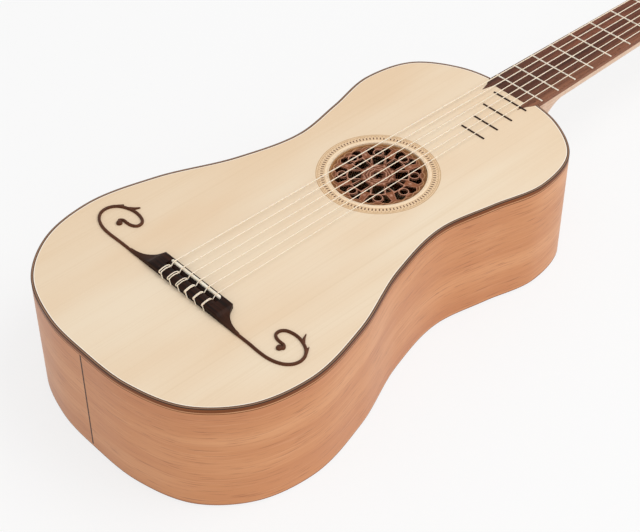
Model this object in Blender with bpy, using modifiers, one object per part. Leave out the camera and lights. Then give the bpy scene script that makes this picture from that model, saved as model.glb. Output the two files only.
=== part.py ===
"""Baroque guitar: a flat-backed, narrow-waisted guitar with a carved rose, a bridge with scrolled ends,
frets on the neck and on the top, and six strings on wooden friction pegs.

Lengths are in millimetres and become metres where an object is made. X runs across the guitar to the treble
side, Y from the saddle to the head, and Z out of the soundboard. Pieces are placed under an empty on the
soundboard's face at the saddle, and those of the head under a second empty, which leans back with it.
"""

import math

import bmesh
import bpy
import numpy as np
from mathutils import Vector

MM = 0.001
GAP = 0.3

# Strings and frets
STRING_LENGTH = 650.0
SADDLE_SETBACK = 1.0
STRING_RADII = (0.34, 0.38, 0.43, 0.40, 0.44, 0.48)
SPREAD_AT_SADDLE = 46.5
SPREAD_AT_NUT = 33.5
LAST_NECK_FRET = 11
LAST_FRET = 15
FRET_HEIGHT = 0.9
FRET_WIDTH = 1.5
TOP_FRET_BASS_ENDS = (-10.0, -5.0, 0.0, 2.5)
TOP_FRET_TREBLE_ENDS = (25.0, 26.0, 26.4, 26.7)

# Body: half of its outline, from the tail to the neck, in points that a smooth curve passes through
HALF_OUTLINE = (
    (0.0, -100.5),
    (44.0, -97.7),
    (88.0, -81.0),
    (116.0, -47.0),
    (125.4, -4.0),
    (114.5, 54.0),
    (90.0, 116.0),
    (79.0, 172.0),
    (87.2, 217.0),
    (97.0, 264.0),
    (86.0, 306.0),
    (52.0, 330.5),
    (0.0, 337.8),
)
STEPS_PER_SPAN = 4
BODY_DEPTH = 99.0
TOP_THICKNESS = 2.4
BACK_THICKNESS = 2.5
RIB_THICKNESS = 2.2
BINDING_WIDTH = 1.5
BINDING_HEIGHT = 4.0
BACK_BINDING_HEIGHT = 2.2
LINING_WIDTH = 6.0
LINING_HEIGHT = 12.0
BLOCK_HALF_WIDTH = 30.0
BLOCK_LENGTH = 22.0
BRACE_WIDTH = 7.0
BRACE_HEIGHT = 14.0
TOP_BRACES = {"upper": 238.0, "lower": 128.0}
BACK_BRACES = {"upper": 246.0, "lower": 40.0}
TAIL_STRIP_WIDTH = 1.2
TAIL_SEAM_X = -3.5

# Rose and its ring
ROSE_Y = 181.6
HOLE_RADIUS = 38.1
RING_OUTER = 48.0
RING_INNER = 39.4
RING_DEPTH = 1.2
ROSE_RADIUS = 43.0
ROSE_RAISED_RADIUS = 37.8
ROSE_TOP = -1.1
ROSE_THICKNESS = 3.4
ROSE_CELLS = 8
ROSE_SQUARE = [(13.7, -4.1), (22.5, -4.4), (22.5, 4.4), (13.7, 4.1)]
ROSE_WEDGE = [(15.3, 0.0), (21.3, -1.9), (21.3, 1.9)]
ROSE_BAY = [(24.9, 3.3), (24.9, 6.4), (30.4, 9.2), (32.5, 6.3), (33.0, 2.1), (31.3, 2.1), (28.4, 4.2)]
ROSE_EYE_REACH = 27.6
ROSE_EYE_RADIUS = 2.8

# Neck, fingerboard and nut
JOINT_Y = 336.8
BOARD_HALF_AT_JOINT = 25.4
BOARD_HALF_AT_NUT = 19.3
BOARD_THICKNESS = 4.0
POINT_TIP = (18.9, 319.8)
POINT_SIDE = ((24.9, 335.0), (23.6, 332.0), (21.4, 328.4))
TONGUE_HALF = 16.6
TONGUE_Y = 331.0
INLAY_DEPTH = 1.4
NECK_DEPTH_AT_NUT = 14.5
NECK_DEPTH_AT_HEEL = 18.5
HEEL_START = 382.0
HEEL_FOOT = 351.0
HEEL_BOTTOM_HALF = 7.0
NUT_LENGTH = 4.5
NUT_HEIGHT = 1.5

# Head and pegs
HEAD_TILT = math.radians(12.0)
HEAD_THICKNESS = 14.0
HEAD_HALF_OUTLINE = (
    (19.2, -8.0),
    (19.2, 6.0),
    (20.6, 13.0),
    (26.2, 23.0),
    (28.4, 36.0),
    (27.6, 70.0),
    (28.0, 105.0),
    (31.0, 140.0),
    (31.2, 153.0),
    (26.0, 160.5),
    (20.5, 163.0),
    (18.0, 172.0),
    (10.5, 179.5),
    (0.0, 182.0),
)
PEG_ALONG = (40.0, 82.0, 124.0)
PEG_ACROSS = (19.0, 18.5, 18.0)
PEG_RADIUS = 3.6
PEG_FRONT = 10.8
PEG_THUMB_DROP = 12.0
THUMB_SIZE = (10.0, 3.2, 12.0)
WIND_HEIGHT = 6.2
WIND_LOOPS = 2
WIND_POINTS_PER_LOOP = 24
WIND_STEP_GAP = 0.45

# Bridge
BRIDGE_REAR = -13.4
BRIDGE_HEIGHT = 4.7
# Half of the bridge's plan beyond the block: how far out, where its front edge is, and how high it stands
BRIDGE_END = (
    (37.0, 3.0, 4.7),
    (38.4, 0.6, 4.1),
    (40.2, -2.2, 3.4),
    (43.6, -5.4, 2.7),
    (48.6, -8.4, 2.1),
    (55.0, -10.4, 1.9),
)
ARM = (60.0, -11.05, 1.9)
SADDLE_HALF = 26.9
SADDLE_FRONT = 1.4
SADDLE_REAR = -1.0
SADDLE_TOP = 6.0
SADDLE_FOOT = 2.0
RAMP_HALF = 27.6
RAMP_REAR = -4.4
RAMP_LOW = 2.2
TIE_HOLE_RADIUS = 0.9
TIE_HOLE_HEIGHT = 3.2
TIE_STRAND_GAP = 1.0
SCROLL_HALF_WIDTH = 1.18
SCROLL_HEIGHT = 1.9
SCROLL_BUTTON = 2.4
TREBLE_SCROLL_SHARE = 0.97
# Centre line of the treble scroll, from the bridge's arm round to the curled end
SCROLL_PATH = (
    (60.6, -12.2),
    (72.0, -12.2),
    (84.0, -12.5),
    (91.8, -12.0),
    (99.0, -10.1),
    (104.5, -7.1),
    (108.3, -2.4),
    (109.2, 3.2),
    (107.4, 8.4),
    (104.0, 12.0),
    (97.6, 15.2),
    (91.2, 16.6),
    (84.7, 16.2),
    (79.8, 14.4),
    (77.3, 11.2),
    (77.5, 7.6),
    (81.0, 5.1),
    (86.0, 4.4),
    (90.0, 4.1),
    (91.8, 1.9),
    (89.4, 0.2),
)
SCROLL_LEAF = ((97.4, 15.4), (94.6, 18.2), (92.4, 22.4))
SCROLL_SPUR = ((106.0, 10.0), (104.6, 12.9), (103.4, 15.2))
LEAF_WIDTHS = (1.1, 1.0, 0.7, 0.9, 0.6)
SPUR_WIDTHS = (1.0, 0.9, 0.7, 0.5, 0.3)

COLOURS = {
    "spruce": ("E8D2B2", 0.5),
    "rib_wood": ("C98F62", 0.35),
    "neck_wood": ("D9B78C", 0.4),
    "rosewood": ("5E3B30", 0.4),
    "ebony": ("231917", 0.35),
    "binding_wood": ("6E4A34", 0.4),
    "scroll_wood": ("4A3020", 0.45),
    "rose_wood": ("94654A", 0.6),
    "ring_wood": ("D9BF98", 0.5),
    "bone": ("EFE6D4", 0.3),
    "gut": ("EAD9C4", 0.35),
    "fret": ("D9CDB4", 0.35),
    "lining_wood": ("D8C19A", 0.7),
    "peg_wood": ("2E211C", 0.35),
}


def clear_scene():
    for scene_object in list(bpy.data.objects):
        bpy.data.objects.remove(scene_object, do_unlink=True)


def new_collection(name):
    collection = bpy.data.collections.new(name)
    bpy.context.scene.collection.children.link(collection)
    return collection


def new_material(name):
    text, roughness = COLOURS[name]
    srgb = [int(text[i : i + 2], 16) / 255 for i in (0, 2, 4)]
    linear = [c / 12.92 if c <= 0.04045 else ((c + 0.055) / 1.055) ** 2.4 for c in srgb]
    made = bpy.data.materials.new(name)
    made.use_nodes = True
    shader = made.node_tree.nodes["Principled BSDF"]
    shader.inputs["Base Color"].default_value = (*linear, 1.0)
    shader.inputs["Roughness"].default_value = roughness
    made.diffuse_color = (*linear, 1.0)
    return made


def new_empty(name, location, lean, parent=None):
    empty = bpy.data.objects.new(name, None)
    empty.location = Vector(location) * MM
    empty.rotation_euler = (lean, 0.0, 0.0)
    empty.parent = parent
    PARTS.objects.link(empty)
    return empty


def keep(piece, name, finish, parent):
    """Names a finished piece, gives it its material and hangs it on its empty."""
    piece.name = name
    piece.data.materials.clear()
    piece.data.materials.append(MATERIALS[finish])
    piece.parent = parent
    return piece


def put_in(piece, collection):
    for owner in list(piece.users_collection):
        owner.objects.unlink(piece)
    collection.objects.link(piece)
    return piece


def as_mesh(curve_object):
    """Turns a curve object into a mesh object with its caps welded on, and removes the curve."""
    bpy.context.view_layer.update()
    graph = bpy.context.evaluated_depsgraph_get()
    mesh = bpy.data.meshes.new_from_object(curve_object.evaluated_get(graph))
    work = bmesh.new()
    work.from_mesh(mesh)
    bmesh.ops.remove_doubles(work, verts=work.verts, dist=1e-6)
    bmesh.ops.recalc_face_normals(work, faces=work.faces)
    work.to_mesh(mesh)
    work.free()
    made = bpy.data.objects.new(curve_object.name, mesh)
    made.matrix_world = curve_object.matrix_world.copy()
    PARTS.objects.link(made)
    bpy.data.objects.remove(curve_object, do_unlink=True)
    return made


def plate(name, loops, low, high):
    """A flat plate between two heights. The first loop is its edge and the others are holes in it."""
    curve = bpy.data.curves.new(name, "CURVE")
    curve.dimensions = "2D"
    curve.fill_mode = "BOTH"
    curve.extrude = (high - low) / 2 * MM
    for loop in loops:
        spline = curve.splines.new("POLY")
        spline.points.add(len(loop) - 1)
        for point, (x, y) in zip(spline.points, loop):
            point.co = (x * MM, y * MM, 0.0, 1.0)
        spline.use_cyclic_u = True
    made = bpy.data.objects.new(name, curve)
    made.location = (0.0, 0.0, (low + high) / 2 * MM)
    PARTS.objects.link(made)
    return as_mesh(made)


def tube(name, points, radius, sides_step=1, widths=None):
    """A round bar of one radius, or of a radius times each point's width, along points."""
    curve = bpy.data.curves.new(name, "CURVE")
    curve.dimensions = "3D"
    curve.fill_mode = "FULL"
    curve.bevel_depth = radius * MM
    curve.bevel_resolution = sides_step
    curve.use_fill_caps = True
    spline = curve.splines.new("POLY")
    spline.points.add(len(points) - 1)
    for index, (point, place) in enumerate(zip(spline.points, points)):
        point.co = (*(c * MM for c in place), 1.0)
        point.radius = 1.0 if widths is None else widths[index]
    made = bpy.data.objects.new(name, curve)
    PARTS.objects.link(made)
    return as_mesh(made)


def block(name, low, high):
    bpy.ops.mesh.primitive_cube_add(size=1.0)
    made = bpy.context.active_object
    made.name = name
    centre = (Vector(low) + Vector(high)) / 2 * MM
    size = (Vector(high) - Vector(low)) * MM
    for vertex in made.data.vertices:
        vertex.co = Vector(a * b for a, b in zip(vertex.co, size)) + centre
    return put_in(made, PARTS)


def rod(name, radius, start, end, sides=20):
    """A straight cylinder from one point to another."""
    axis = Vector(end) - Vector(start)
    bpy.ops.mesh.primitive_cylinder_add(vertices=sides, radius=radius * MM, depth=axis.length * MM)
    made = bpy.context.active_object
    made.name = name
    made.rotation_mode = "QUATERNION"
    made.rotation_quaternion = axis.to_track_quat("Z", "Y")
    made.location = (Vector(start) + Vector(end)) / 2 * MM
    return put_in(made, PARTS)


def turned(name, profile, steps):
    """A turned piece about Z. Its profile runs down the outer side, from top to bottom."""
    mesh = bpy.data.meshes.new(name)
    points = [(r * MM, 0.0, z * MM) for r, z in profile]
    mesh.from_pydata(points, [(i, i + 1) for i in range(len(points) - 1)], [])
    made = bpy.data.objects.new(name, mesh)
    PARTS.objects.link(made)
    screw = made.modifiers.new("turn", "SCREW")
    screw.steps = steps
    screw.render_steps = steps
    screw.use_merge_vertices = True
    screw.merge_threshold = 0.00001
    return as_mesh(made)


def ribbon(name, line, widths, height):
    """A bar with a flat foot and a rounded top along a line, as wide each side as widths say."""
    path = np.array(line)
    ahead = np.gradient(path, axis=0)
    ahead /= np.linalg.norm(ahead, axis=1)[:, None]
    profile = ((-1.0, 0.0), (-1.0, 0.5), (-0.62, 0.9), (0.0, 1.0), (0.62, 0.9), (1.0, 0.5), (1.0, 0.0))
    rings = []
    for (x, y), (run_x, run_y), width in zip(path, ahead, widths):
        tall = height * (0.4 + 0.6 * min(1.0, width / max(widths)))
        ring = [(x + run_y * out * width, y - run_x * out * width, GAP + up * tall) for out, up in profile]
        rings.append(ring)
    return loft(name, rings)


def loft(name, rings):
    """A closed skin through rings of points, each ring the same length, with its two ends closed."""
    work = bmesh.new()
    rows = [[work.verts.new(Vector(p) * MM) for p in ring] for ring in rings]
    count = len(rings[0])
    for near, far in zip(rows, rows[1:]):
        for i in range(count):
            j = (i + 1) % count
            work.faces.new((near[i], near[j], far[j], far[i]))
    work.faces.new(rows[0][::-1])
    work.faces.new(rows[-1])
    bmesh.ops.recalc_face_normals(work, faces=work.faces)
    mesh = bpy.data.meshes.new(name)
    work.to_mesh(mesh)
    work.free()
    made = bpy.data.objects.new(name, mesh)
    PARTS.objects.link(made)
    return made


def combine(piece, other, operation="DIFFERENCE"):
    """Cuts one piece by a helper, or joins the helper to it, and puts the helper with the cutters."""
    put_in(other, CUTTERS)
    other.hide_render = True
    other.display_type = "WIRE"
    change = piece.modifiers.new(operation.lower(), "BOOLEAN")
    change.operation = operation
    change.solver = "EXACT"
    change.object = other
    return piece


def smooth_sides(piece, angle=40.0):
    piece.data.shade_smooth()
    piece.data.set_sharp_from_angle(angle=math.radians(angle))


def smooth_curve(points, steps, flat_ends=False):
    """Points along a smooth curve through the given ones: cubic pieces whose slope at each point is the mean
    of the two sides' slopes, weighted by their lengths."""
    knots = np.array(points, float)
    spans = np.linalg.norm(np.diff(knots, axis=0), axis=1)
    slopes = np.zeros_like(knots)
    sides = np.diff(knots, axis=0) / spans[:, None]
    near, far = spans[:-1, None], spans[1:, None]
    slopes[1:-1] = (sides[:-1] * far + sides[1:] * near) / (near + far)
    slopes[0] = sides[0]
    slopes[-1] = sides[-1]
    if flat_ends:
        slopes[0] = (1.0, 0.0)
        slopes[-1] = (-1.0, 0.0)
    found = []
    for i, span in enumerate(spans):
        for t in np.arange(steps) / steps:
            here = (2 * t**3 - 3 * t**2 + 1) * knots[i] + (3 * t**2 - 2 * t**3) * knots[i + 1]
            lean = (t**3 - 2 * t**2 + t) * slopes[i] + (t**3 - t**2) * slopes[i + 1]
            found.append(tuple(here + lean * span))
    found.append(tuple(knots[-1]))
    return found


def half_outline(inset, first_x=0.0, last_x=0.0):
    """The treble half of the body's outline, from tail to neck, moved inwards, and cut off nearer the centre
    than first_x at the tail and last_x at the neck."""
    line = np.array(smooth_curve(HALF_OUTLINE, STEPS_PER_SPAN, flat_ends=True))
    ahead = np.gradient(line, axis=0)
    ahead /= np.linalg.norm(ahead, axis=1)[:, None]
    ahead[0] = (1.0, 0.0)
    ahead[-1] = (-1.0, 0.0)
    moved = line + inset * np.stack([-ahead[:, 1], ahead[:, 0]], axis=1)
    middle = len(moved) // 2
    tail = [tuple(p) for p in moved[:middle] if p[0] > first_x + 0.5]
    neck = [tuple(p) for p in moved[middle:] if p[0] > last_x + 0.5]
    start = (first_x, float(np.interp(first_x, moved[:6, 0], moved[:6, 1])))
    end = (last_x, float(np.interp(last_x, moved[:-6:-1, 0], moved[:-6:-1, 1])))
    return [start, *tail, *neck, end]


def mirrored(points):
    return [(-x, y) for x, y in points]


def whole_outline(inset):
    """The closed outline of the body, moved inwards."""
    half = half_outline(inset)
    return half + mirrored(half[1:-1])[::-1]


def strip(side, outer, inner, first_x, last_x):
    """The closed outline of a strip that follows half the body between two insets."""
    out = half_outline(outer, first_x, last_x)
    back = half_outline(inner, first_x, last_x)[::-1]
    return [(side * x, y) for x, y in out + back]


def circle(radius, centre, count, turn=0.0):
    angles = [turn + 2 * math.pi * i / count for i in range(count)]
    return [(centre[0] + radius * math.cos(a), centre[1] + radius * math.sin(a)) for a in angles]


def outline_half_width(y, inset):
    """How far out the body's outline is at a distance along it, less an inset."""
    line = np.array(half_outline(inset))
    order = np.argsort(line[:, 1])
    return float(np.interp(y, line[order, 1], line[order, 0]))


def fret_y(number):
    return STRING_LENGTH * 2 ** (-number / 12) - SADDLE_SETBACK


def board_half_width(y):
    """Half the fingerboard's width, which narrows evenly from the body to the nut."""
    share = (y - JOINT_Y) / (fret_y(0) - JOINT_Y)
    return BOARD_HALF_AT_JOINT + (BOARD_HALF_AT_NUT - BOARD_HALF_AT_JOINT) * share


def board_outline(grow=0.0):
    """The fingerboard's outline with its two points, grown on the side that is let into the top."""
    nut = fret_y(0) - GAP
    tip = (POINT_TIP[0], POINT_TIP[1] - 2 * grow)
    side = [(x + grow, y - grow) for x, y in POINT_SIDE]
    half = [
        (board_half_width(nut) + grow, nut),
        (board_half_width(JOINT_Y) + grow, JOINT_Y + 1.0),
        *side,
        (tip[0] + grow * 0.3, tip[1]),
        (TONGUE_HALF - grow, TONGUE_Y - grow * 0.2),
    ]
    return half + mirrored(half)[::-1]


def string_x(index, y):
    """How far across a string is, at a distance along the guitar. String 1 is the treble one."""
    share = y / fret_y(0)
    spread = SPREAD_AT_SADDLE + (SPREAD_AT_NUT - SPREAD_AT_SADDLE) * share
    return spread / 2 - spread * index / 5


def string_z(radius, y):
    """Height of a string's middle over the soundboard between the saddle and the nut."""
    share = y / fret_y(0)
    high = SADDLE_TOP + GAP + radius
    low = NUT_HEIGHT + GAP + radius
    return high + (low - high) * share


def make_body(frame):
    below_top = -TOP_THICKNESS - GAP
    above_back = -BODY_DEPTH + BACK_THICKNESS + GAP
    hole = circle(HOLE_RADIUS, (0.0, ROSE_Y), 64)
    plate_edge = whole_outline(BINDING_WIDTH + GAP)
    soundboard = plate("soundboard", [plate_edge, hole], -TOP_THICKNESS, 0.0)
    groove = plate(
        "ring_groove",
        [circle(RING_OUTER + GAP, (0.0, ROSE_Y), 64), circle(RING_INNER - GAP, (0.0, ROSE_Y), 64)],
        -RING_DEPTH - GAP,
        1.0,
    )
    combine(soundboard, groove)
    seat = plate("board_seat", [board_outline(GAP)], -INLAY_DEPTH - GAP, 1.0)
    combine(soundboard, seat)
    keep(soundboard, "soundboard", "spruce", frame)
    ring = plate(
        "rosette_ring",
        [circle(RING_OUTER, (0.0, ROSE_Y), 64), circle(RING_INNER, (0.0, ROSE_Y), 64)],
        -RING_DEPTH,
        0.0,
    )
    keep(ring, "rosette_ring", "ring_wood", frame)
    back = plate("back", [plate_edge], -BODY_DEPTH, -BODY_DEPTH + BACK_THICKNESS)
    keep(back, "back", "rib_wood", frame)

    rib_top = -BINDING_HEIGHT - GAP
    rib_bottom = -BODY_DEPTH + BACK_BINDING_HEIGHT + 2 * GAP
    seam = TAIL_STRIP_WIDTH / 2 + GAP
    for name, side in (("rib_bass", -1), ("rib_treble", 1)):
        tail_end = side * TAIL_SEAM_X + seam
        rib = plate(name, [strip(side, 0.0, RIB_THICKNESS, tail_end, GAP / 2)], rib_bottom, rib_top)
        keep(rib, name, "rib_wood", frame)
    tail_y = HALF_OUTLINE[0][1]
    strip_low = (TAIL_SEAM_X - TAIL_STRIP_WIDTH / 2, tail_y, rib_bottom)
    strip_high = (TAIL_SEAM_X + TAIL_STRIP_WIDTH / 2, tail_y + RIB_THICKNESS, rib_top)
    keep(block("tail_strip", strip_low, strip_high), "tail_strip", "ebony", frame)

    top_ring = [whole_outline(0.0), whole_outline(BINDING_WIDTH)]
    binding = plate("binding_top", top_ring, -BINDING_HEIGHT, 0.0)
    crossing = BOARD_HALF_AT_JOINT + GAP
    combine(binding, block("binding_break", (-crossing, 300.0, -9.0), (crossing, 345.0, 1.0)))
    keep(binding, "binding_top", "binding_wood", frame)
    low_binding = plate("binding_back", top_ring, -BODY_DEPTH + GAP, -BODY_DEPTH + GAP + BACK_BINDING_HEIGHT)
    keep(low_binding, "binding_back", "binding_wood", frame)

    inner = RIB_THICKNESS + GAP
    edge = BLOCK_HALF_WIDTH + GAP
    for side_name, side in (("bass", -1), ("treble", 1)):
        band = [strip(side, inner, inner + LINING_WIDTH, edge, edge)]
        top_lining = plate("lining", band, below_top - LINING_HEIGHT, below_top)
        keep(top_lining, f"lining_top_{side_name}", "lining_wood", frame)
        back_lining = plate("lining", band, above_back, above_back + LINING_HEIGHT)
        keep(back_lining, f"lining_back_{side_name}", "lining_wood", frame)

    tail_edge = [(x, y) for x, y in half_outline(inner) if x < BLOCK_HALF_WIDTH and y < 0.0]
    tail_edge.append((BLOCK_HALF_WIDTH, tail_edge[-1][1] + 0.8))
    tail_inner = tail_y + inner + BLOCK_LENGTH
    tail_loop = [*tail_edge, (BLOCK_HALF_WIDTH, tail_inner), (-BLOCK_HALF_WIDTH, tail_inner)]
    tail_loop += mirrored(tail_edge[1:])[::-1]
    tail_block = plate("tail_block", [tail_loop], above_back, below_top)
    keep(tail_block, "tail_block", "lining_wood", frame)

    neck_edge = [(x, y) for x, y in half_outline(inner) if x < BLOCK_HALF_WIDTH and y > 0.0]
    neck_inner = neck_edge[-1][1] - BLOCK_LENGTH - 3.0
    corner_y = float(np.interp(BLOCK_HALF_WIDTH, [0.0, 52.0], [neck_edge[-1][1], 330.5 - inner])) - 0.8
    neck_side = [(BLOCK_HALF_WIDTH, neck_inner), (BLOCK_HALF_WIDTH, corner_y), *neck_edge]
    neck_loop = neck_side + mirrored(neck_side[:-1])[::-1]
    neck_block = plate("neck_block", [neck_loop], above_back, below_top)
    keep(neck_block, "neck_block", "lining_wood", frame)

    for label, y in TOP_BRACES.items():
        half = outline_half_width(y, inner + LINING_WIDTH + 1.5)
        low = (-half, y - BRACE_WIDTH / 2, below_top - BRACE_HEIGHT)
        high = (half, y + BRACE_WIDTH / 2, below_top)
        keep(block("brace", low, high), f"top_brace_{label}", "lining_wood", frame)
    for label, y in BACK_BRACES.items():
        half = outline_half_width(y, inner + LINING_WIDTH + 1.5)
        low = (-half, y - BRACE_WIDTH / 2, above_back)
        high = (half, y + BRACE_WIDTH / 2, above_back + BRACE_HEIGHT)
        keep(block("brace", low, high), f"back_brace_{label}", "lining_wood", frame)


def turned_about_rose(points, angle):
    """Points drawn along x from the rose's middle, turned to an angle round it."""
    c, s = math.cos(angle), math.sin(angle)
    return [(x * c - y * s, ROSE_Y + x * s + y * c) for x, y in points]


def make_rose(frame):
    """The carved rose: a star in the middle and eight pierced cells round it, with a rim under the top."""
    centre = (0.0, ROSE_Y)
    star = []
    for i in range(12):
        radius = 3.8 if i % 2 == 0 else 2.2
        star.append((radius * math.cos(math.pi * i / 6), radius * math.sin(math.pi * i / 6)))
    holes = [turned_about_rose(star, 0.0)]
    other_bay = [(x, -y) for x, y in reversed(ROSE_BAY)]
    eye = circle(ROSE_EYE_RADIUS, (ROSE_EYE_REACH, 0.0), 8)
    for i in range(ROSE_CELLS):
        angle = 2 * math.pi * i / ROSE_CELLS
        for shape in (ROSE_SQUARE, ROSE_BAY, other_bay, eye):
            holes.append(turned_about_rose(shape, angle))
        holes.append(turned_about_rose(ROSE_WEDGE, angle + math.pi / ROSE_CELLS))
    edge = circle(ROSE_RADIUS, centre, 48)
    rose = plate("rose", [edge, *holes], ROSE_TOP - ROSE_THICKNESS, ROSE_TOP)
    rim = [circle(ROSE_RADIUS + 1.0, centre, 48), circle(ROSE_RAISED_RADIUS, centre, 48)]
    combine(rose, plate("rose_rim", rim, -TOP_THICKNESS - GAP, ROSE_TOP + 1.0))
    keep(rose, "rose", "rose_wood", frame)


def make_bridge(frame):
    sections = [*BRIDGE_END, ARM]
    sections = [(-x, front, height) for x, front, height in reversed(sections)] + sections
    rings = []
    for x, front, height in sections:
        edge = min(0.7, (front - BRIDGE_REAR) * 0.25)
        rings.append(
            [
                (x, BRIDGE_REAR, GAP),
                (x, front, GAP),
                (x, front, height - edge),
                (x, front - edge, height),
                (x, BRIDGE_REAR + edge, height),
                (x, BRIDGE_REAR, height - edge),
            ]
        )
    bridge = loft("bridge", rings)
    slot_low = (-SADDLE_HALF - GAP, SADDLE_REAR - GAP, SADDLE_FOOT - GAP)
    slot_high = (SADDLE_HALF + GAP, SADDLE_FRONT + GAP, BRIDGE_HEIGHT + 2.0)
    combine(bridge, block("saddle_slot", slot_low, slot_high))
    above = BRIDGE_HEIGHT + 2.0
    low_y = SADDLE_REAR - GAP + 0.1
    profile = [(low_y, BRIDGE_HEIGHT - 0.1), (low_y, above), (RAMP_REAR, above), (RAMP_REAR, RAMP_LOW)]
    ramp = loft("ramp", [[(x, y, z) for y, z in profile] for x in (-RAMP_HALF, RAMP_HALF)])
    combine(bridge, ramp)
    for index in range(len(STRING_RADII)):
        x = string_x(index, RAMP_REAR)
        front = (x, RAMP_REAR + 0.6, TIE_HOLE_HEIGHT)
        rear = (x, BRIDGE_REAR - 1.0, TIE_HOLE_HEIGHT)
        combine(bridge, rod("tie_hole", TIE_HOLE_RADIUS, rear, front, 12))
    keep(bridge, "bridge", "ebony", frame)

    middle = (SADDLE_FRONT + SADDLE_REAR) / 2
    half = (SADDLE_FRONT - SADDLE_REAR) / 2
    profile = [
        (-half, SADDLE_FOOT),
        (half, SADDLE_FOOT),
        (half, SADDLE_TOP - 0.8),
        (half * 0.6, SADDLE_TOP - 0.15),
        (0.0, SADDLE_TOP),
        (-half * 0.6, SADDLE_TOP - 0.15),
        (-half, SADDLE_TOP - 0.8),
    ]
    rings = [[(x, middle + step, z) for step, z in profile] for x in (-SADDLE_HALF, SADDLE_HALF)]
    keep(loft("saddle", rings), "saddle", "bone", frame)


def scroll_line(points, side, share):
    """A smooth line on one side of the guitar, drawn in towards the bridge's arm by a share."""
    start = SCROLL_PATH[0][0]
    return [(side * (start + (x - start) * share), y) for x, y in smooth_curve(points, 2)]


def make_scrolls(frame):
    """The carved scrolls glued on beyond the bridge's arms, each with a leaf, a spur and a round end."""
    for name, side, share in (("scroll_bass", -1, 1.0), ("scroll_treble", 1, TREBLE_SCROLL_SHARE)):
        line = scroll_line(SCROLL_PATH, side, share)
        scroll = ribbon(name, line, [SCROLL_HALF_WIDTH] * len(line), SCROLL_HEIGHT)
        for twig, widths in ((SCROLL_LEAF, LEAF_WIDTHS), (SCROLL_SPUR, SPUR_WIDTHS)):
            twig_line = scroll_line(twig, side, share)
            combine(scroll, ribbon("scroll_twig", twig_line, widths, SCROLL_HEIGHT * 0.9), "UNION")
        end = line[-1]
        shape = [(0.0, 2.3), (0.55, 2.2), (0.9, 1.8), (1.0, 1.2), (1.0, 0.0), (0.0, 0.0)]
        button = turned("scroll_button", [(r * SCROLL_BUTTON, GAP + z) for r, z in shape], 12)
        button.location = (end[0] * MM, end[1] * MM, 0.0)
        combine(scroll, button, "UNION")
        keep(scroll, name, "scroll_wood", frame)


def neck_depth(y):
    """How far down the neck goes under the fingerboard: evenly along it, and to the back at the heel."""
    nut = fret_y(0)
    if y > HEEL_START:
        share = (nut - y) / (nut - HEEL_START)
        return NECK_DEPTH_AT_NUT + (NECK_DEPTH_AT_HEEL - NECK_DEPTH_AT_NUT) * share
    share = min(1.0, (HEEL_START - y) / (HEEL_START - HEEL_FOOT))
    full = BODY_DEPTH - BOARD_THICKNESS - GAP - 1.0
    return NECK_DEPTH_AT_HEEL + (full - NECK_DEPTH_AT_HEEL) * (1 - math.sqrt(max(0.0, 1 - share**2)))


def neck_ring(y, depth, count=14):
    """One section of the neck, from its treble edge round the back to its bass edge."""
    half = board_half_width(y)
    top = -BOARD_THICKNESS - GAP
    tallness = min(1.0, max(0.0, (depth - NECK_DEPTH_AT_HEEL) / (BODY_DEPTH * 0.72)))
    ring = []
    for i in range(count + 1):
        angle = math.pi * i / count
        across = math.copysign(abs(math.cos(angle)) ** (0.8 + 0.1 * tallness), math.cos(angle))
        down = math.sin(angle) ** (0.8 - 0.35 * tallness)
        waist = half - (half - HEEL_BOTTOM_HALF) * tallness * down**1.2
        ring.append((across * waist, y, top - depth * down))
    return ring


def make_neck(frame):
    nut = fret_y(0)
    end = nut + NUT_LENGTH + 0.3
    ys = [JOINT_Y - 3.0, 342.0, 346.0, HEEL_FOOT]
    ys += [HEEL_FOOT + (HEEL_START - HEEL_FOOT) * s for s in (0.03, 0.1, 0.2, 0.35, 0.55, 0.78, 1.0)]
    ys += [430.0, 520.0, 610.0, nut - 12.0]
    rings = [neck_ring(y, neck_depth(y)) for y in ys]
    rings.append(neck_ring(nut - 3.0, NECK_DEPTH_AT_NUT - 1.4))
    rings.append(neck_ring(end, NECK_DEPTH_AT_NUT - 4.2))
    neck = loft("neck", rings)
    combine(neck, plate("body_space", [whole_outline(-GAP)], -BODY_DEPTH - 1.0, 1.0))
    keep(neck, "neck", "neck_wood", frame)

    board = plate("fingerboard", [board_outline()], -BOARD_THICKNESS, 0.0)
    under = block("board_underside", (-40.0, 300.0, -9.0), (40.0, JOINT_Y + 1.6, -INLAY_DEPTH))
    combine(board, under)
    keep(board, "fingerboard", "rosewood", frame)

    half = board_half_width(nut)
    nut_rings = []
    for y, height in ((nut, NUT_HEIGHT - 0.3), (nut + 0.8, NUT_HEIGHT), (nut + NUT_LENGTH, NUT_HEIGHT - 0.7)):
        foot = -BOARD_THICKNESS
        nut_rings.append([(-half, y, foot), (half, y, foot), (half, y, height), (-half, y, height)])
    keep(loft("nut", nut_rings), "nut", "bone", frame)


def make_frets(frame):
    for number in range(1, LAST_FRET + 1):
        y = fret_y(number)
        if number <= LAST_NECK_FRET:
            right = board_half_width(y) - 0.7
            left = -right
            finish = "fret"
        else:
            left = TOP_FRET_BASS_ENDS[number - LAST_NECK_FRET - 1]
            right = TOP_FRET_TREBLE_ENDS[number - LAST_NECK_FRET - 1]
            finish = "ebony"
        half = FRET_WIDTH / 2
        shoulder = FRET_HEIGHT * 0.8
        profile = [(-half, GAP), (half, GAP), (half * 0.75, shoulder), (0.0, FRET_HEIGHT)]
        profile.append((-half * 0.75, shoulder))
        rings = [[(x, y + step, z) for step, z in profile] for x in (left, right)]
        keep(loft("fret", rings), f"fret_{number:02d}", finish, frame)


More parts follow.
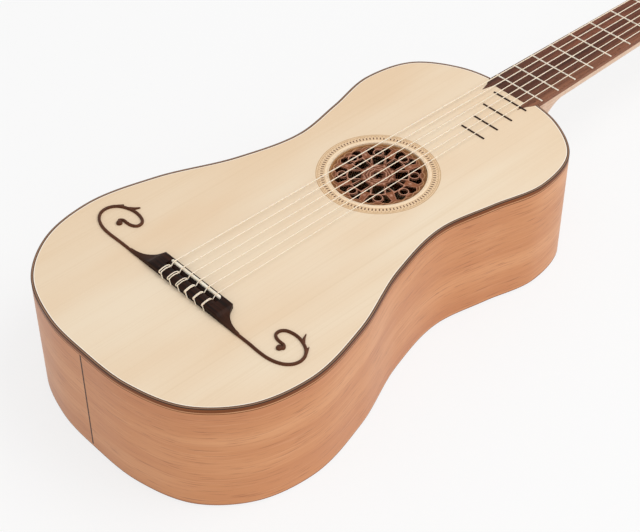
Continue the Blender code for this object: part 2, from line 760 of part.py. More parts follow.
def make_head(frame):
    half = smooth_curve(HEAD_HALF_OUTLINE[2:], 3)
    side = [*HEAD_HALF_OUTLINE[:2], *half]
    outline = side + mirrored(side[:-1])[::-1]
    head = plate("head", [outline], -HEAD_THICKNESS, 0.0)
    reach = fret_y(0) + NUT_LENGTH + 0.6
    neck_space = block("neck_space", (-40.0, reach - 60.0, -60.0), (40.0, reach, 20.0))
    neck_space.parent = frame
    combine(head, neck_space)
    for across, along in peg_places():
        under = (across, along, -HEAD_THICKNESS - 2.0)
        hole = rod("peg_hole", PEG_RADIUS + GAP, under, (across, along, 2.0), 24)
        hole.parent = HEAD
        combine(head, hole)
    keep(head, "head", "rosewood", HEAD)


def peg_places():
    """Where each string's peg stands on the head: the three bass strings at the bass side, nearest first."""
    treble = [(PEG_ACROSS[i], PEG_ALONG[i]) for i in range(3)]
    bass = [(-PEG_ACROSS[i], PEG_ALONG[i]) for i in (2, 1, 0)]
    return treble + bass


def make_pegs():
    """Wooden friction pegs, put in from behind, whose shafts stand out of the head's face for the strings."""
    for index, (across, along) in enumerate(peg_places()):
        under = -HEAD_THICKNESS - GAP
        profile = [
            (0.0, PEG_FRONT),
            (PEG_RADIUS * 0.7, PEG_FRONT - 0.3),
            (PEG_RADIUS, PEG_FRONT - 1.6),
            (PEG_RADIUS, under - 0.4),
            (5.4, under - 0.8),
            (5.4, under - 2.6),
            (3.4, under - 4.4),
            (2.7, under - 7.5),
            (3.2, under - PEG_THUMB_DROP + 1.0),
            (0.0, under - PEG_THUMB_DROP),
        ]
        peg = turned("peg", profile, 20)
        bpy.ops.mesh.primitive_uv_sphere_add(segments=16, ring_count=8, radius=1.0)
        thumb = put_in(bpy.context.active_object, PARTS)
        for vertex in thumb.data.vertices:
            x, y, z = vertex.co
            vertex.co = Vector((x * THUMB_SIZE[0], y * THUMB_SIZE[1], z * THUMB_SIZE[2])) * MM
        thumb.name = "thumb"
        thumb.data.shade_smooth()
        thumb.location = (0.0, 0.0, (under - PEG_THUMB_DROP - THUMB_SIZE[2] * 0.72) * MM)
        thumb.parent = peg
        combine(peg, thumb, "UNION")
        peg.location = (across * MM, along * MM, 0.0)
        smooth_sides(peg)
        keep(peg, f"peg_{index + 1}", "peg_wood", HEAD)


def head_point(place):
    """A point given on the head, in the frame of the guitar."""
    x, along, up = place
    c, s = math.cos(HEAD_TILT), math.sin(HEAD_TILT)
    return (x, HEAD_START[1] + along * c + up * s, HEAD_START[2] - along * s + up * c)


def on_head(place):
    """A point of the guitar, seen from the head."""
    x, y, z = place[0], place[1] - HEAD_START[1], place[2] - HEAD_START[2]
    c, s = math.cos(HEAD_TILT), math.sin(HEAD_TILT)
    return (x, y * c - z * s, y * s + z * c)


def wind_radius(radius):
    return PEG_RADIUS + GAP + radius


def touch_point(start, peg, radius, inner_side):
    """The angle at which a string from start meets its winding round a peg, on the side nearer the middle."""
    reach = Vector((start[0] - peg[0], start[1] - peg[1]))
    spread = math.acos(wind_radius(radius) / reach.length)
    angle = math.atan2(reach.y, reach.x) + inner_side * spread
    return angle


def make_strings(frame):
    """Six strings, each one bar from its tie over saddle and nut to its peg, and its winding there."""
    for index, radius in enumerate(STRING_RADII):
        nut = fret_y(0)
        tie_x = string_x(index, RAMP_REAR)
        over = BRIDGE_HEIGHT + GAP + radius + 0.15
        behind = BRIDGE_REAR - GAP - radius - 0.15
        lane = radius + TIE_STRAND_GAP / 2
        front = RAMP_REAR - 1.4
        tie = [
            (tie_x + lane, behind - 0.6, GAP + radius),
            (tie_x + lane, behind, 1.6),
            (tie_x + lane, behind, BRIDGE_HEIGHT - 0.6),
            (tie_x + lane, BRIDGE_REAR + 0.6, over),
            (tie_x + lane, front, over + 0.1),
            (tie_x + lane * 0.7, front + lane * 0.7, over + 0.1),
            (tie_x, front + lane, over + 0.1),
            (tie_x - lane * 0.7, front + lane * 0.7, over + 0.1),
            (tie_x - lane, front, over + 0.1),
            (tie_x - lane, BRIDGE_REAR + 0.6, over),
            (tie_x - lane, behind, BRIDGE_HEIGHT - 0.5),
            (tie_x - lane * 0.6, behind - 0.1, TIE_HOLE_HEIGHT + 0.35),
            (tie_x, behind + 0.5, TIE_HOLE_HEIGHT),
            (tie_x, BRIDGE_REAR + 1.5, TIE_HOLE_HEIGHT),
            (tie_x, RAMP_REAR - 0.6, TIE_HOLE_HEIGHT),
        ]
        saddle_z = string_z(radius, 0.0)
        tie.append((tie_x, RAMP_REAR + 0.7, TIE_HOLE_HEIGHT + 0.6))
        tie.append((string_x(index, SADDLE_REAR), SADDLE_REAR - 0.1, saddle_z - 0.35))
        tie.append((string_x(index, 0.0), 0.0, saddle_z))
        start = (string_x(index, nut), nut, string_z(radius, nut))
        leave = (string_x(index, nut + 3.6), nut + 3.6, start[2] - 0.35)
        peg = peg_places()[index]
        inner_side = 1 if peg[0] < 0 else -1
        from_head = on_head(leave)
        angle = touch_point(from_head, peg, radius, inner_side)
        ring = wind_radius(radius)
        meet = (peg[0] + ring * math.cos(angle), peg[1] + ring * math.sin(angle), WIND_HEIGHT)
        run = [*tie, start, leave, head_point(meet)]
        keep(tube("string", run, radius), f"string_{index + 1}", "gut", frame)

        step = 2 * radius + WIND_STEP_GAP
        first = WIND_HEIGHT - step
        turns = []
        count = WIND_LOOPS * WIND_POINTS_PER_LOOP
        for i in range(count + 1):
            turned_by = angle - inner_side * 2 * math.pi * i / WIND_POINTS_PER_LOOP
            height = first - step * i / WIND_POINTS_PER_LOOP
            turns.append((ring * math.cos(turned_by), ring * math.sin(turned_by), height))
        winding = tube("winding", turns, radius)
        winding.location = (peg[0] * MM, peg[1] * MM, 0.0)
        keep(winding, f"winding_{index + 1}", "gut", HEAD)
        print(f"string {index + 1}: gap between its turns {least_turn_gap(turns, radius):.2f} mm")


def least_turn_gap(points, radius):
    """The least gap between one turn of a winding and another, measured on its points."""
    line = np.array(points)
    apart = np.linalg.norm(line[:, None] - line[None], axis=2)
    along = np.abs(np.arange(len(line))[:, None] - np.arange(len(line))[None])
    return apart[along > WIND_POINTS_PER_LOOP // 2].min() - 2 * radius


clear_scene()
PARTS = new_collection("baroque_guitar")
CUTTERS = new_collection("cutters")
MATERIALS = {name: new_material(name) for name in COLOURS}
HEAD_START = (0.0, fret_y(0) + NUT_LENGTH + 0.6, -GAP)
head_reach = HEAD_START[1] + HEAD_HALF_OUTLINE[-1][1] * math.cos(HEAD_TILT)
middle_y = (HALF_OUTLINE[0][1] + head_reach) / 2
GUITAR = new_empty("guitar_frame", (0.0, -middle_y, BODY_DEPTH), 0.0)
HEAD = new_empty("head_frame", HEAD_START, -HEAD_TILT, GUITAR)
make_body(GUITAR)
make_rose(GUITAR)
make_bridge(GUITAR)
make_scrolls(GUITAR)
make_neck(GUITAR)
make_frets(GUITAR)
make_head(GUITAR)
make_pegs()
make_strings(GUITAR)
for helper in CUTTERS.objects:
    if helper.parent is None:
        helper.parent = GUITAR
print(f"middle of the guitar's length is {middle_y:.3f} mm from the saddle")
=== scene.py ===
# Baroque guitar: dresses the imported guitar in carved, bent and turned pieces of wood, bone, gut and metal.
# Guitar millimetres run x across to the treble side, y from the saddle to the head, z up from the soundboard.

import math

import bmesh
import bpy
import numpy as np
from mathutils import Matrix, Vector


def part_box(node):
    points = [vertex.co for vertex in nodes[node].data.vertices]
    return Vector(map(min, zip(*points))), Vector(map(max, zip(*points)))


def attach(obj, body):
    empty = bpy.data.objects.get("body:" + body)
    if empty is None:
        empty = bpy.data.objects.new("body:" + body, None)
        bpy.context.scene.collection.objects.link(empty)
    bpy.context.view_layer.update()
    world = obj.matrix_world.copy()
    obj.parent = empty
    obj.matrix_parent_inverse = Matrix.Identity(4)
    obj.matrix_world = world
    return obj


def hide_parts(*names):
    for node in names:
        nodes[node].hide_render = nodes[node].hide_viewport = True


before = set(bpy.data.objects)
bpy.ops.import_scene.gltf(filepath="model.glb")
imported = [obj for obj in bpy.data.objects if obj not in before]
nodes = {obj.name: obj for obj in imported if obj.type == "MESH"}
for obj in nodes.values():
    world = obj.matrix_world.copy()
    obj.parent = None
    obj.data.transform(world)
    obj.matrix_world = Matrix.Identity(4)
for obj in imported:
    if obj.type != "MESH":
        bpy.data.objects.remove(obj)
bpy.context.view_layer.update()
saddleLow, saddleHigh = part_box("saddle")
saddleMiddle = 0.2  # the saddle's middle, in guitar millimetres
zeroY = (saddleLow.y + saddleHigh.y) / 2 - saddleMiddle * 0.001
zeroPoint = np.array([0.0, zeroY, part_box("soundboard")[1].z])
print("frame loaded, with", len(nodes), "nodes")

# Shared by several pieces: the hole's middle, and where the head starts and how far it leans back
holeCentre = (0.0, 181.6)
headStart = (0.0, 654.1, -0.3)
headLean = math.radians(12.0)


# Node materials


# sRGB hex to linear colour: a straight part near black, then a power of 2.4
def hexColour(text):
    srgb = np.array([int(text[i : i + 2], 16) / 255 for i in (0, 2, 4)])
    linear = np.where(srgb <= 0.04045, srgb / 12.92, ((srgb + 0.055) / 1.055) ** 2.4)
    return (*linear.tolist(), 1.0)


# Adds one node with its settings (properties or socket values) and its links, and gives one of its outputs
def addNode(tree, kind, settings=None, links=None, output=0):
    node = tree.nodes.new("ShaderNode" + kind)
    for key, value in (settings or {}).items():
        if key == "tones":
            tones = [(place, hexColour(text)) for place, text in value]
            stops = node.color_ramp.elements
            stops[0].position, stops[0].color = tones[0]
            stops[1].position, stops[1].color = tones[-1]
            for place, colour in tones[1:-1]:
                stops.new(place).color = colour
        elif isinstance(key, str) and hasattr(node, key):
            setattr(node, key, value)
        else:
            node.inputs[key].default_value = value
    for key, socket in (links or {}).items():
        tree.links.new(socket, node.inputs[key])
    return node.outputs[output]


# A new material with its tree and shader; the sockets given are the same all over the surface
def startMaterial(name, sockets=None):
    material = bpy.data.materials.new(name)
    material.use_nodes = True
    shader = material.node_tree.nodes["Principled BSDF"]
    for socket, value in (sockets or {}).items():
        shader.inputs[socket].default_value = value
    return material, material.node_tree, shader


# Vector in millimetres, read from the object's place or from the piece's own grain attribute
def millimetres(tree, attribute=None):
    if attribute:
        return addNode(tree, "Attribute", {"attribute_name": attribute}, output="Vector")
    place = addNode(tree, "TexCoord", output="Object")
    return addNode(tree, "Mapping", {"Scale": (1000.0, 1000.0, 1000.0)}, {"Vector": place})


# The same for a point given in guitar millimetres, so that a pattern can be measured from it
def objectPoint(point):
    return tuple((np.array(point) + zeroPoint * 1000.0).tolist())


# Noise stretched to given lengths in millimetres along each axis
def streaks(tree, place, lengths, detail=3.0, distortion=0.0, turn=(0.0, 0.0, 0.0)):
    scale = tuple(1.0 / length for length in lengths)
    mapped = addNode(tree, "Mapping", {"Scale": scale, "Rotation": turn}, {"Vector": place})
    settings = {"Scale": 1.0, "Detail": detail, "Distortion": distortion}
    return addNode(tree, "TexNoise", settings, {"Vector": mapped})


# Lays a second colour, hex text or a socket, over the first, most where the factor is at its end
def layOver(tree, colour, second, factor, start, end, most=1.0):
    settings = {"From Min": start, "From Max": end, "To Max": most}
    links = {0: addNode(tree, "MapRange", settings, {0: factor}), 6: colour}
    settings = {"data_type": "RGBA"}
    if isinstance(second, str):
        settings[7] = hexColour(second)
    else:
        links[7] = second
    return addNode(tree, "Mix", settings, links, 2)


# Gives the shader its colour, a roughness that spreads with one pattern, and fine relief from another
def closeMaterial(tree, shader, colour, rough, relief=None):
    tree.links.new(colour, shader.inputs["Base Color"])
    pattern, smoothest, roughest = rough
    spread = addNode(tree, "MapRange", {"To Min": smoothest, "To Max": roughest}, {0: pattern})
    tree.links.new(spread, shader.inputs["Roughness"])
    if relief:
        pattern, strength, distance = relief
        bump = addNode(tree, "Bump", {"Strength": strength, "Distance": distance}, {"Height": pattern})
        tree.links.new(bump, shader.inputs["Normal"])


# A finish whose tones, roughness and relief follow one set of streaks, with other streaks laid over it
def streakedFinish(name, look, along=None):
    material, tree, shader = startMaterial(name, look.get("sockets"))
    place = millimetres(tree, along)
    grain = streaks(tree, place, *look["streaks"])
    colour = addNode(tree, "ValToRGB", {"tones": look["tones"]}, {0: grain})
    for second, start, end, most, other in look.get("over", []):
        colour = layOver(tree, colour, second, streaks(tree, place, *other), start, end, most)
    relief = (grain, *look["relief"]) if "relief" in look else None
    closeMaterial(tree, shader, colour, (grain, *look["rough"]), relief)
    return material


# Quarter-sawn spruce under a thin satin varnish: pale cream, with fine straight annual lines along the body,
# the glued joint down its middle, and painted shade that darkens its bass side
def quarteredSpruce():
    look = {
        "tones": [(0.35, "EBD8BD"), (0.68, "E6CCAC")],
        "line": "D9BD98",
        "silk": "F3E6CF",
        "joint": "C9A878",
        "bassShade": "E2C29C",
        "bassShadeFrom": -20.0,
        "bassShadeTo": -130.0,
    }
    material, tree, shader = startMaterial("quarteredSpruce", {"Specular IOR Level": 0.4})
    place = millimetres(tree)
    across = addNode(tree, "SeparateXYZ", None, {0: place}, "X")
    away = addNode(tree, "Math", {"operation": "ABSOLUTE"}, {0: across})
    broad = streaks(tree, place, (45.0, 180.0, 40.0), 2.0)
    fine = streaks(tree, place, (1.6, 420.0, 60.0))
    silk = streaks(tree, place, (5.0, 1.1, 20.0), 2.0)
    colour = addNode(tree, "ValToRGB", {"tones": look["tones"]}, {0: broad})
    colour = layOver(tree, colour, look["line"], fine, 0.5, 0.74, 0.26)
    colour = layOver(tree, colour, look["silk"], silk, 0.6, 0.8, 0.14)
    colour = layOver(tree, colour, look["joint"], away, 0.14, 0.02, 0.16)
    # Painted shade: the bass side is laid darker, where less light falls on it
    colour = layOver(tree, colour, look["bassShade"], across, look["bassShadeFrom"], look["bassShadeTo"], 0.55)
    closeMaterial(tree, shader, colour, (broad, 0.44, 0.56), (fine, 0.12, 0.0002))
    return material


# Bent cherry ribs, scraped and satin varnished: warm tan with long soft bands and short dark streaks
def bentCherry(name, along=None):
    look = {
        "tones": [(0.3, "D6996A"), (0.52, "CA8959"), (0.78, "BC784C")],
        "dark": "BC784C",
        "silk": "E0AA7E",
        "streak": "A0623C",
    }
    sockets = {"Coat Weight": 0.08, "Coat Roughness": 0.3, "Specular IOR Level": 0.4}
    material, tree, shader = startMaterial(name, sockets)
    place = millimetres(tree, along)
    broad = streaks(tree, place, (260.0, 26.0, 26.0), 3.0, 0.3)
    fine = streaks(tree, place, (120.0, 2.0, 2.0), 4.0, 0.2)
    silk = streaks(tree, place, (60.0, 1.5, 1.5), 3.0, 0.3)
    marks = streaks(tree, place, (24.0, 1.1, 1.1), 3.0, 0.4)
    colour = addNode(tree, "ValToRGB", {"tones": look["tones"]}, {0: broad})
    colour = layOver(tree, colour, look["dark"], fine, 0.5, 0.74, 0.4)
    colour = layOver(tree, colour, look["silk"], silk, 0.56, 0.76, 0.4)
    colour = layOver(tree, colour, look["streak"], marks, 0.57, 0.7, 0.75)
    closeMaterial(tree, shader, colour, (fine, 0.38, 0.5), (fine, 0.08, 0.0002))
    return material


# Carved maple neck with a rubbed oil finish: light brown, with faint cross figure over straight grain
def oiledMaple():
    look = {
        "tones": [(0.35, "E2C4AA"), (0.7, "CFA98C")],
        "streaks": ((4.0, 150.0, 4.0), 4.0, 0.3),
        "over": [("EAD0B8", 0.45, 0.7, 0.4, ((30.0, 5.0, 30.0), 1.0, 0.4))],
        "rough": (0.38, 0.48),
        "relief": (0.08, 0.0002),
        "sockets": {"Specular IOR Level": 0.4},
    }
    return streakedFinish("oiledMaple", look)


# Oiled rosewood fingerboard: brown with darker streaks along it, darker towards the end over the body, and
# painted light that makes it paler towards its treble edge. Its short open pores are drawn coarser than real
# ones, so that they show.
def oiledRosewood():
    look = {
        "tones": [(0.36, "824E39"), (0.66, "4C281B")],
        "trebleLight": [(0.36, "9C6A50"), (0.66, "744632")],
        "trebleLightFrom": 8.0,
        "trebleLightTo": 24.0,
        "darkerEnd": "341C13",
        "darkerEndFrom": 75.0,
        "darkerEndTo": -32.0,
        "pore": "2A1711",
    }
    material, tree, shader = startMaterial("oiledRosewood", {"Specular IOR Level": 0.14})
    place = millimetres(tree)
    across = addNode(tree, "SeparateXYZ", None, {0: place}, "X")
    along = across.node.outputs["Y"]
    bands = streaks(tree, place, (5.0, 170.0, 9.0), 4.0, 0.5)
    pores = streaks(tree, place, (0.7, 6.0, 0.7), 2.0)
    colour = addNode(tree, "ValToRGB", {"tones": look["tones"]}, {0: bands})
    trebleLight = addNode(tree, "ValToRGB", {"tones": look["trebleLight"]}, {0: bands})
    # Darker towards the end over the body
    colour = layOver(tree, colour, look["darkerEnd"], along, look["darkerEndFrom"], look["darkerEndTo"], 0.6)
    # Painted light: paler towards the treble edge, where more light falls
    colour = layOver(tree, colour, trebleLight, across, look["trebleLightFrom"], look["trebleLightTo"], 0.85)
    colour = layOver(tree, colour, look["pore"], pores, 0.58, 0.7, 0.6)
    closeMaterial(tree, shader, colour, (pores, 0.36, 0.56), (pores, 0.15, -0.0002))
    return material


# Head: a rosewood veneer on the front of neck maple, so its edge shows a dark layer over pale wood
def veneeredHead():
    look = {
        "maple": [(0.36, "E2C4AA"), (0.66, "CFA98C")],
        "rosewood": [(0.36, "84503A"), (0.66, "572F20")],
        "veneer": 1.6,
    }
    material, tree, shader = startMaterial("veneeredHead", {"Specular IOR Level": 0.25})
    place = millimetres(tree)
    bands = streaks(tree, place, (5.0, 170.0, 9.0), 4.0, 0.5)
    settings = {"operation": "SUBTRACT", 1: objectPoint(headStart)}
    fromFront = addNode(tree, "VectorMath", settings, {0: place})
    settings = {"operation": "DOT_PRODUCT", 1: (0.0, math.sin(headLean), math.cos(headLean))}
    height = addNode(tree, "VectorMath", settings, {0: fromFront}, "Value")
    maple = addNode(tree, "ValToRGB", {"tones": look["maple"]}, {0: bands})
    rosewood = addNode(tree, "ValToRGB", {"tones": look["rosewood"]}, {0: bands})
    colour = layOver(tree, maple, rosewood, height, -look["veneer"] - 0.05, -look["veneer"] + 0.05)
    closeMaterial(tree, shader, colour, (bands, 0.4, 0.52), (bands, 0.1, 0.0002))
    return material


# Polished ebony bridge: near black with a few brown streaks, turning dark brown out along its arms
def polishedEbony():
    look = {"tones": [(0.4, "190D08"), (0.72, "361C11")], "arm": "442819", "armStart": 34.0, "armEnd": 60.0}
    material, tree, shader = startMaterial("polishedEbony", {"Specular IOR Level": 0.08})
    place = millimetres(tree)
    bands = streaks(tree, place, (60.0, 2.6, 4.0), 4.0, 0.3)
    across = addNode(tree, "SeparateXYZ", None, {0: place}, "X")
    away = addNode(tree, "Math", {"operation": "ABSOLUTE"}, {0: across})
    colour = addNode(tree, "ValToRGB", {"tones": look["tones"]}, {0: bands})
    colour = layOver(tree, colour, look["arm"], away, look["armStart"], look["armEnd"])
    closeMaterial(tree, shader, colour, (bands, 0.3, 0.44), (bands, 0.08, 0.0002))
    return material


# Thin ebony slips for the top's frets: black, with a dull scraped surface
def scrapedEbony():
    look = {
        "tones": [(0.4, "24140D"), (0.7, "40261A")],
        "streaks": ((8.0, 2.0, 2.0),),
        "rough": (0.4, 0.52),
        "sockets": {"Specular IOR Level": 0.2},
    }
    return streakedFinish("scrapedEbony", look)


# Walnut edge binding, bent and scraped flush: red brown, with fine grain that runs round the body
def bentWalnut():
    look = {
        "tones": [(0.35, "8A4E25"), (0.68, "653415")],
        "streaks": ((70.0, 1.2, 1.2), 4.0, 0.3),
        "rough": (0.36, 0.48),
        "relief": (0.06, 0.0002),
        "sockets": {"Specular IOR Level": 0.16},
    }
    return streakedFinish("bentWalnut", look, "grain")


# Dyed wood purfling slips, scraped flush: a thin even line, dark or pale. The same finish in walnut tones
# paints the binding's top face lighter as painted sheen, and its corner darker as painted shade.
def purflingSlip(name, light, dark):
    look = {
        "tones": [(0.35, light), (0.7, dark)],
        "streaks": ((30.0, 0.8, 0.8), 2.0),
        "rough": (0.42, 0.54),
        "sockets": {"Specular IOR Level": 0.25},
    }
    return streakedFinish(name, look, "grain")


# Brown wood made paler where it bulges: one pattern along the grain, and a paler colour on bulges that is
# painted highlight on the scrolls and wear on the pegs
def wearAndHighlightWood(name, look):
    material, tree, shader = startMaterial(name, look["sockets"])
    grain = streaks(tree, millimetres(tree), *look["streaks"])
    colour = addNode(tree, "ValToRGB", {"tones": look["tones"]}, {0: grain})
    bulge = addNode(tree, "NewGeometry", output="Pointiness")
    # Paler where the surface bulges: painted highlight on the scrolls, wear on the pegs
    colour = layOver(tree, colour, look["wearAndHighlight"], bulge, *look["bulge"])
    closeMaterial(tree, shader, colour, (grain, *look["rough"]), (grain, *look["relief"]))
    return material


# Carved plum scrolls with a waxed surface: dark brown, with a painted red highlight on their bulging edges
def waxedPlum():
    look = {
        "tones": [(0.38, "3C2112"), (0.7, "56321E")],
        "wearAndHighlight": "7C482E",
        "bulge": (0.5, 0.58, 0.45),
        "streaks": ((22.0, 1.6, 2.4), 4.0, 0.3),
        "rough": (0.36, 0.5),
        "relief": (0.1, 0.0002),
        "sockets": {"Specular IOR Level": 0.15},
    }
    return wearAndHighlightWood("waxedPlum", look)


# Turned pegs of stained boxwood: dark brown, with turning lines and a lighter worn rim
def stainedBoxwood():
    look = {
        "tones": [(0.38, "251813"), (0.7, "432B1F")],
        "wearAndHighlight": "6A4530",
        "bulge": (0.52, 0.62, 0.4),
        "streaks": ((1.4, 1.4, 16.0), 4.0, 0.2),
        "rough": (0.3, 0.44),
        "relief": (0.08, 0.0002),
        "sockets": {"Specular IOR Level": 0.3},
    }
    return wearAndHighlightWood("stainedBoxwood", look)


# Knife-carved pear rose: painted shade where it is cut low, painted highlight on its ridges, and more golden
# near its rim
def carvedPear():
    look = {
        "tones": [(0.02, "30140A"), (0.34, "8B5131"), (0.9, "C8957C")],
        "rimTones": [(0.02, "30140A"), (0.3, "96663A"), (0.9, "C29760")],
        "grain": "30140A",
        "rimFrom": 33.0,
        "rimTo": 37.5,
    }
    material, tree, shader = startMaterial("carvedPear", {"Specular IOR Level": 0.2})
    place = millimetres(tree)
    carve = addNode(tree, "Attribute", {"attribute_name": "carve"}, output="Fac")
    settings = {"operation": "DISTANCE", 1: objectPoint((*holeCentre, 0.0))}
    reach = addNode(tree, "VectorMath", settings, {0: place}, "Value")
    grain = streaks(tree, place, (1.2, 14.0, 1.2), 4.0, 0.2)
    # Colour follows the carving's height: painted shade where it is low, painted highlight on its ridges
    colour = addNode(tree, "ValToRGB", {"tones": look["tones"]}, {0: carve})
    golden = addNode(tree, "ValToRGB", {"tones": look["rimTones"]}, {0: carve})
    colour = layOver(tree, colour, golden, reach, look["rimFrom"], look["rimTo"])
    colour = layOver(tree, colour, look["grain"], grain, 0.4, 0.75, 0.4)
    closeMaterial(tree, shader, colour, (grain, 0.48, 0.62), (grain, 0.15, 0.0002))
    return material


# Inlaid slips of the rosette: scraped level with the top, so only their tones differ
def inlaidSlip(name, light, dark):
    look = {
        "tones": [(0.36, light), (0.66, dark)],
        "streaks": ((1.4, 5.0, 1.4),),
        "rough": (0.44, 0.54),
    }
    return streakedFinish(name, look)


# Polished bone: warm white, faintly mottled, with light that enters a little. The dark canals along it are
# drawn coarser than real ones, so that they show.
def polishedBone():
    look = {
        "tones": [(0.35, "F4EBDA"), (0.7, "E6D8BE")],
        "streaks": ((7.0, 3.0, 3.0),),
        "over": [("CDB894", 0.66, 0.76, 0.4, ((5.0, 0.35, 0.35), 1.0))],
        "rough": (0.24, 0.34),
        "sockets": {"IOR": 1.55, "Subsurface Weight": 0.12, "Subsurface Radius": (0.002, 0.0014, 0.0009)},
    }
    return streakedFinish("polishedBone", look)


# Twisted gut, rubbed smooth: pale amber cream with a faint spiral of darker strands, drawn coarser than real
# ones, so that they show
def twistedGut():
    look = {
        "tones": [(0.36, "F7EAD6"), (0.7, "E6D2B4")],
        "streaks": ((2.2, 0.5, 0.5), 2.0, 0.0, (0.0, 0.0, 0.7)),
        "rough": (0.3, 0.42),
        "relief": (0.1, 0.0001),
        "sockets": {"IOR": 1.53, "Subsurface Weight": 0.1, "Subsurface Radius": (0.001, 0.0007, 0.0004)},
    }
    return streakedFinish("twistedGut", look, "grain")


# Nickel silver fret wire, filed and polished along its crown: pale, slightly warm metal, with polishing marks
# drawn coarser than real ones, so that they show
def filedNickelSilver():
    look = {
        "tones": [(0.35, "F4EBDC"), (0.7, "E6DBC6")],
        "streaks": ((9.0, 0.4, 0.4), 2.0),
        "rough": (0.24, 0.38),
        "sockets": {"Metallic": 1.0},
    }
    return streakedFinish("filedNickelSilver", look)


# Raw spruce and willow inside the body: unvarnished, dull, with sawn grain
def sawnWillow():
    look = {
        "tones": [(0.35, "DCC7A2"), (0.7, "C4A87C")],
        "streaks": ((2.0, 30.0, 2.0), 3.0, 0.3),
        "rough": (0.7, 0.85),
        "relief": (0.15, 0.0003),
    }
    return streakedFinish("sawnWillow", look)


# Each finish with the record's slot that it belongs to
finishes = {
    "top": (quarteredSpruce(), "spruce"),
    "rib": (bentCherry("bentCherry", "grain"), "rib_wood"),
    "back": (bentCherry("flatCherry"), "rib_wood"),
    "neck": (oiledMaple(), "neck_wood"),
    "board": (oiledRosewood(), "rosewood"),
    "head": (veneeredHead(), "rosewood"),
    "bridge": (polishedEbony(), "ebony"),
    "slip": (scrapedEbony(), "ebony"),
    "binding": (bentWalnut(), "binding_wood"),
    "seamLine": (purflingSlip("blackPearSlip", "4A2D16", "361F0E"), "binding_wood"),
    # Painted shade: walnut laid darker on the binding's rounded top corner, where it turns from the light
    "arris": (purflingSlip("shadedWalnutArris", "3A2216", "2C190F"), "binding_wood"),
    "darkLine": (purflingSlip("darkPearSlip", "52351F", "402716"), "binding_wood"),
    # Painted sheen: the walnut binding's top face laid lighter, as it looks where light glances off it
    "walnutTopSheen": (purflingSlip("litWalnutTop", "927058", "7C5D46"), "binding_wood"),
    "whiteLine": (purflingSlip("whiteHollySlip", "FFF4E6", "FAEBD8"), "binding_wood"),
    "redLine": (purflingSlip("redPearSlip", "90572F", "7A4422"), "binding_wood"),
    "paleLine": (purflingSlip("palePearSlip", "C8936A", "B88056"), "binding_wood"),
    "scroll": (waxedPlum(), "scroll_wood"),
    "rose": (carvedPear(), "rose_wood"),
    "ring": (inlaidSlip("ringLime", "E5C6A0", "DFBE96"), "ring_wood"),
    "ringPale": (inlaidSlip("ringHolly", "F3DABA", "EED2AE"), "ring_wood"),
    "ringDark": (inlaidSlip("ringWalnut", "6A4025", "52301A"), "ring_wood"),
    "ringTan": (inlaidSlip("ringYew", "C9A67C", "BC986E"), "ring_wood"),
    "bone": (polishedBone(), "bone"),
    "gut": (twistedGut(), "gut"),
    "fret": (filedNickelSilver(), "fret"),
    "peg": (stainedBoxwood(), "peg_wood"),
    "inside": (sawnWillow(), "lining_wood"),
}
print("finishes made:", len(finishes))


# Surfaces from numpy grids

mergeWithin = 2e-6  # metres


# Quads between neighbouring rows and columns of a grid; either way may close on itself
def gridFaces(rows, columns, roundRows=False, roundColumns=True):
    row = np.arange(rows if roundRows else rows - 1)[:, None]
    column = np.arange(columns if roundColumns else columns - 1)[None]
    nextRow, nextColumn = (row + 1) % rows, (column + 1) % columns
    corners = (row * columns + column, row * columns + nextColumn)
    corners += (nextRow * columns + nextColumn, nextRow * columns + column)
    return np.stack(corners, axis=-1).reshape(-1, 4)


# Puts a mesh in the scene with its finish, on its body, and in place of the nodes that it stands for
def setPiece(name, mesh, finish, body="guitar", stands=()):
    material, slot = finishes[finish]
    mesh.materials.append(material)
    piece = bpy.data.objects.new(name, mesh)
    bpy.context.scene.collection.objects.link(piece)
    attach(piece, body)
    if stands:
        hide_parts(*stands)
    return piece


# A mesh piece from points in guitar millimetres: doubles merged, faces turned outwards, sharp past an angle
def makePiece(name, points, faces, finish, body="guitar", stands=(), grain=None, sharp=40.0):
    mesh = bpy.data.meshes.new(name)
    place = np.asarray(points, float).reshape(-1, 3) * 0.001 + zeroPoint
    mesh.from_pydata(place.tolist(), [], [list(face) for face in faces])
    if grain is not None:
        layer = mesh.attributes.new("grain", "FLOAT_VECTOR", "POINT")
        layer.data.foreach_set("vector", np.asarray(grain, np.float32).ravel())
    work = bmesh.new()
    work.from_mesh(mesh)
    bmesh.ops.remove_doubles(work, verts=work.verts, dist=mergeWithin)
    bmesh.ops.recalc_face_normals(work, faces=work.faces)
    work.to_mesh(mesh)
    work.free()
    mesh.shade_smooth()
    mesh.set_sharp_from_angle(angle=math.radians(sharp))
    return setPiece(name, mesh, finish, body, stands)


# Rings of points from their places across, along and up, each spread over the others' shape
def ringsFrom(across, along, up):
    return np.stack(np.broadcast_arrays(across, along, up), axis=-1)


# A bar with closed ends: rings of points one after another
def barPiece(name, rings, finish, **more):
    rows, columns = rings.shape[:2]
    faces = gridFaces(rows, columns).tolist()
    faces += [list(range(columns)), [(rows - 1) * columns + i for i in range(columns)]]
    return makePiece(name, rings, faces, finish, **more)


# A closed hoop: rings of points whose last meets the first
def hoopPiece(name, rings, finish, **more):
    faces = gridFaces(rings.shape[0], rings.shape[1], roundRows=True).tolist()
    return makePiece(name, rings, faces, finish, **more)


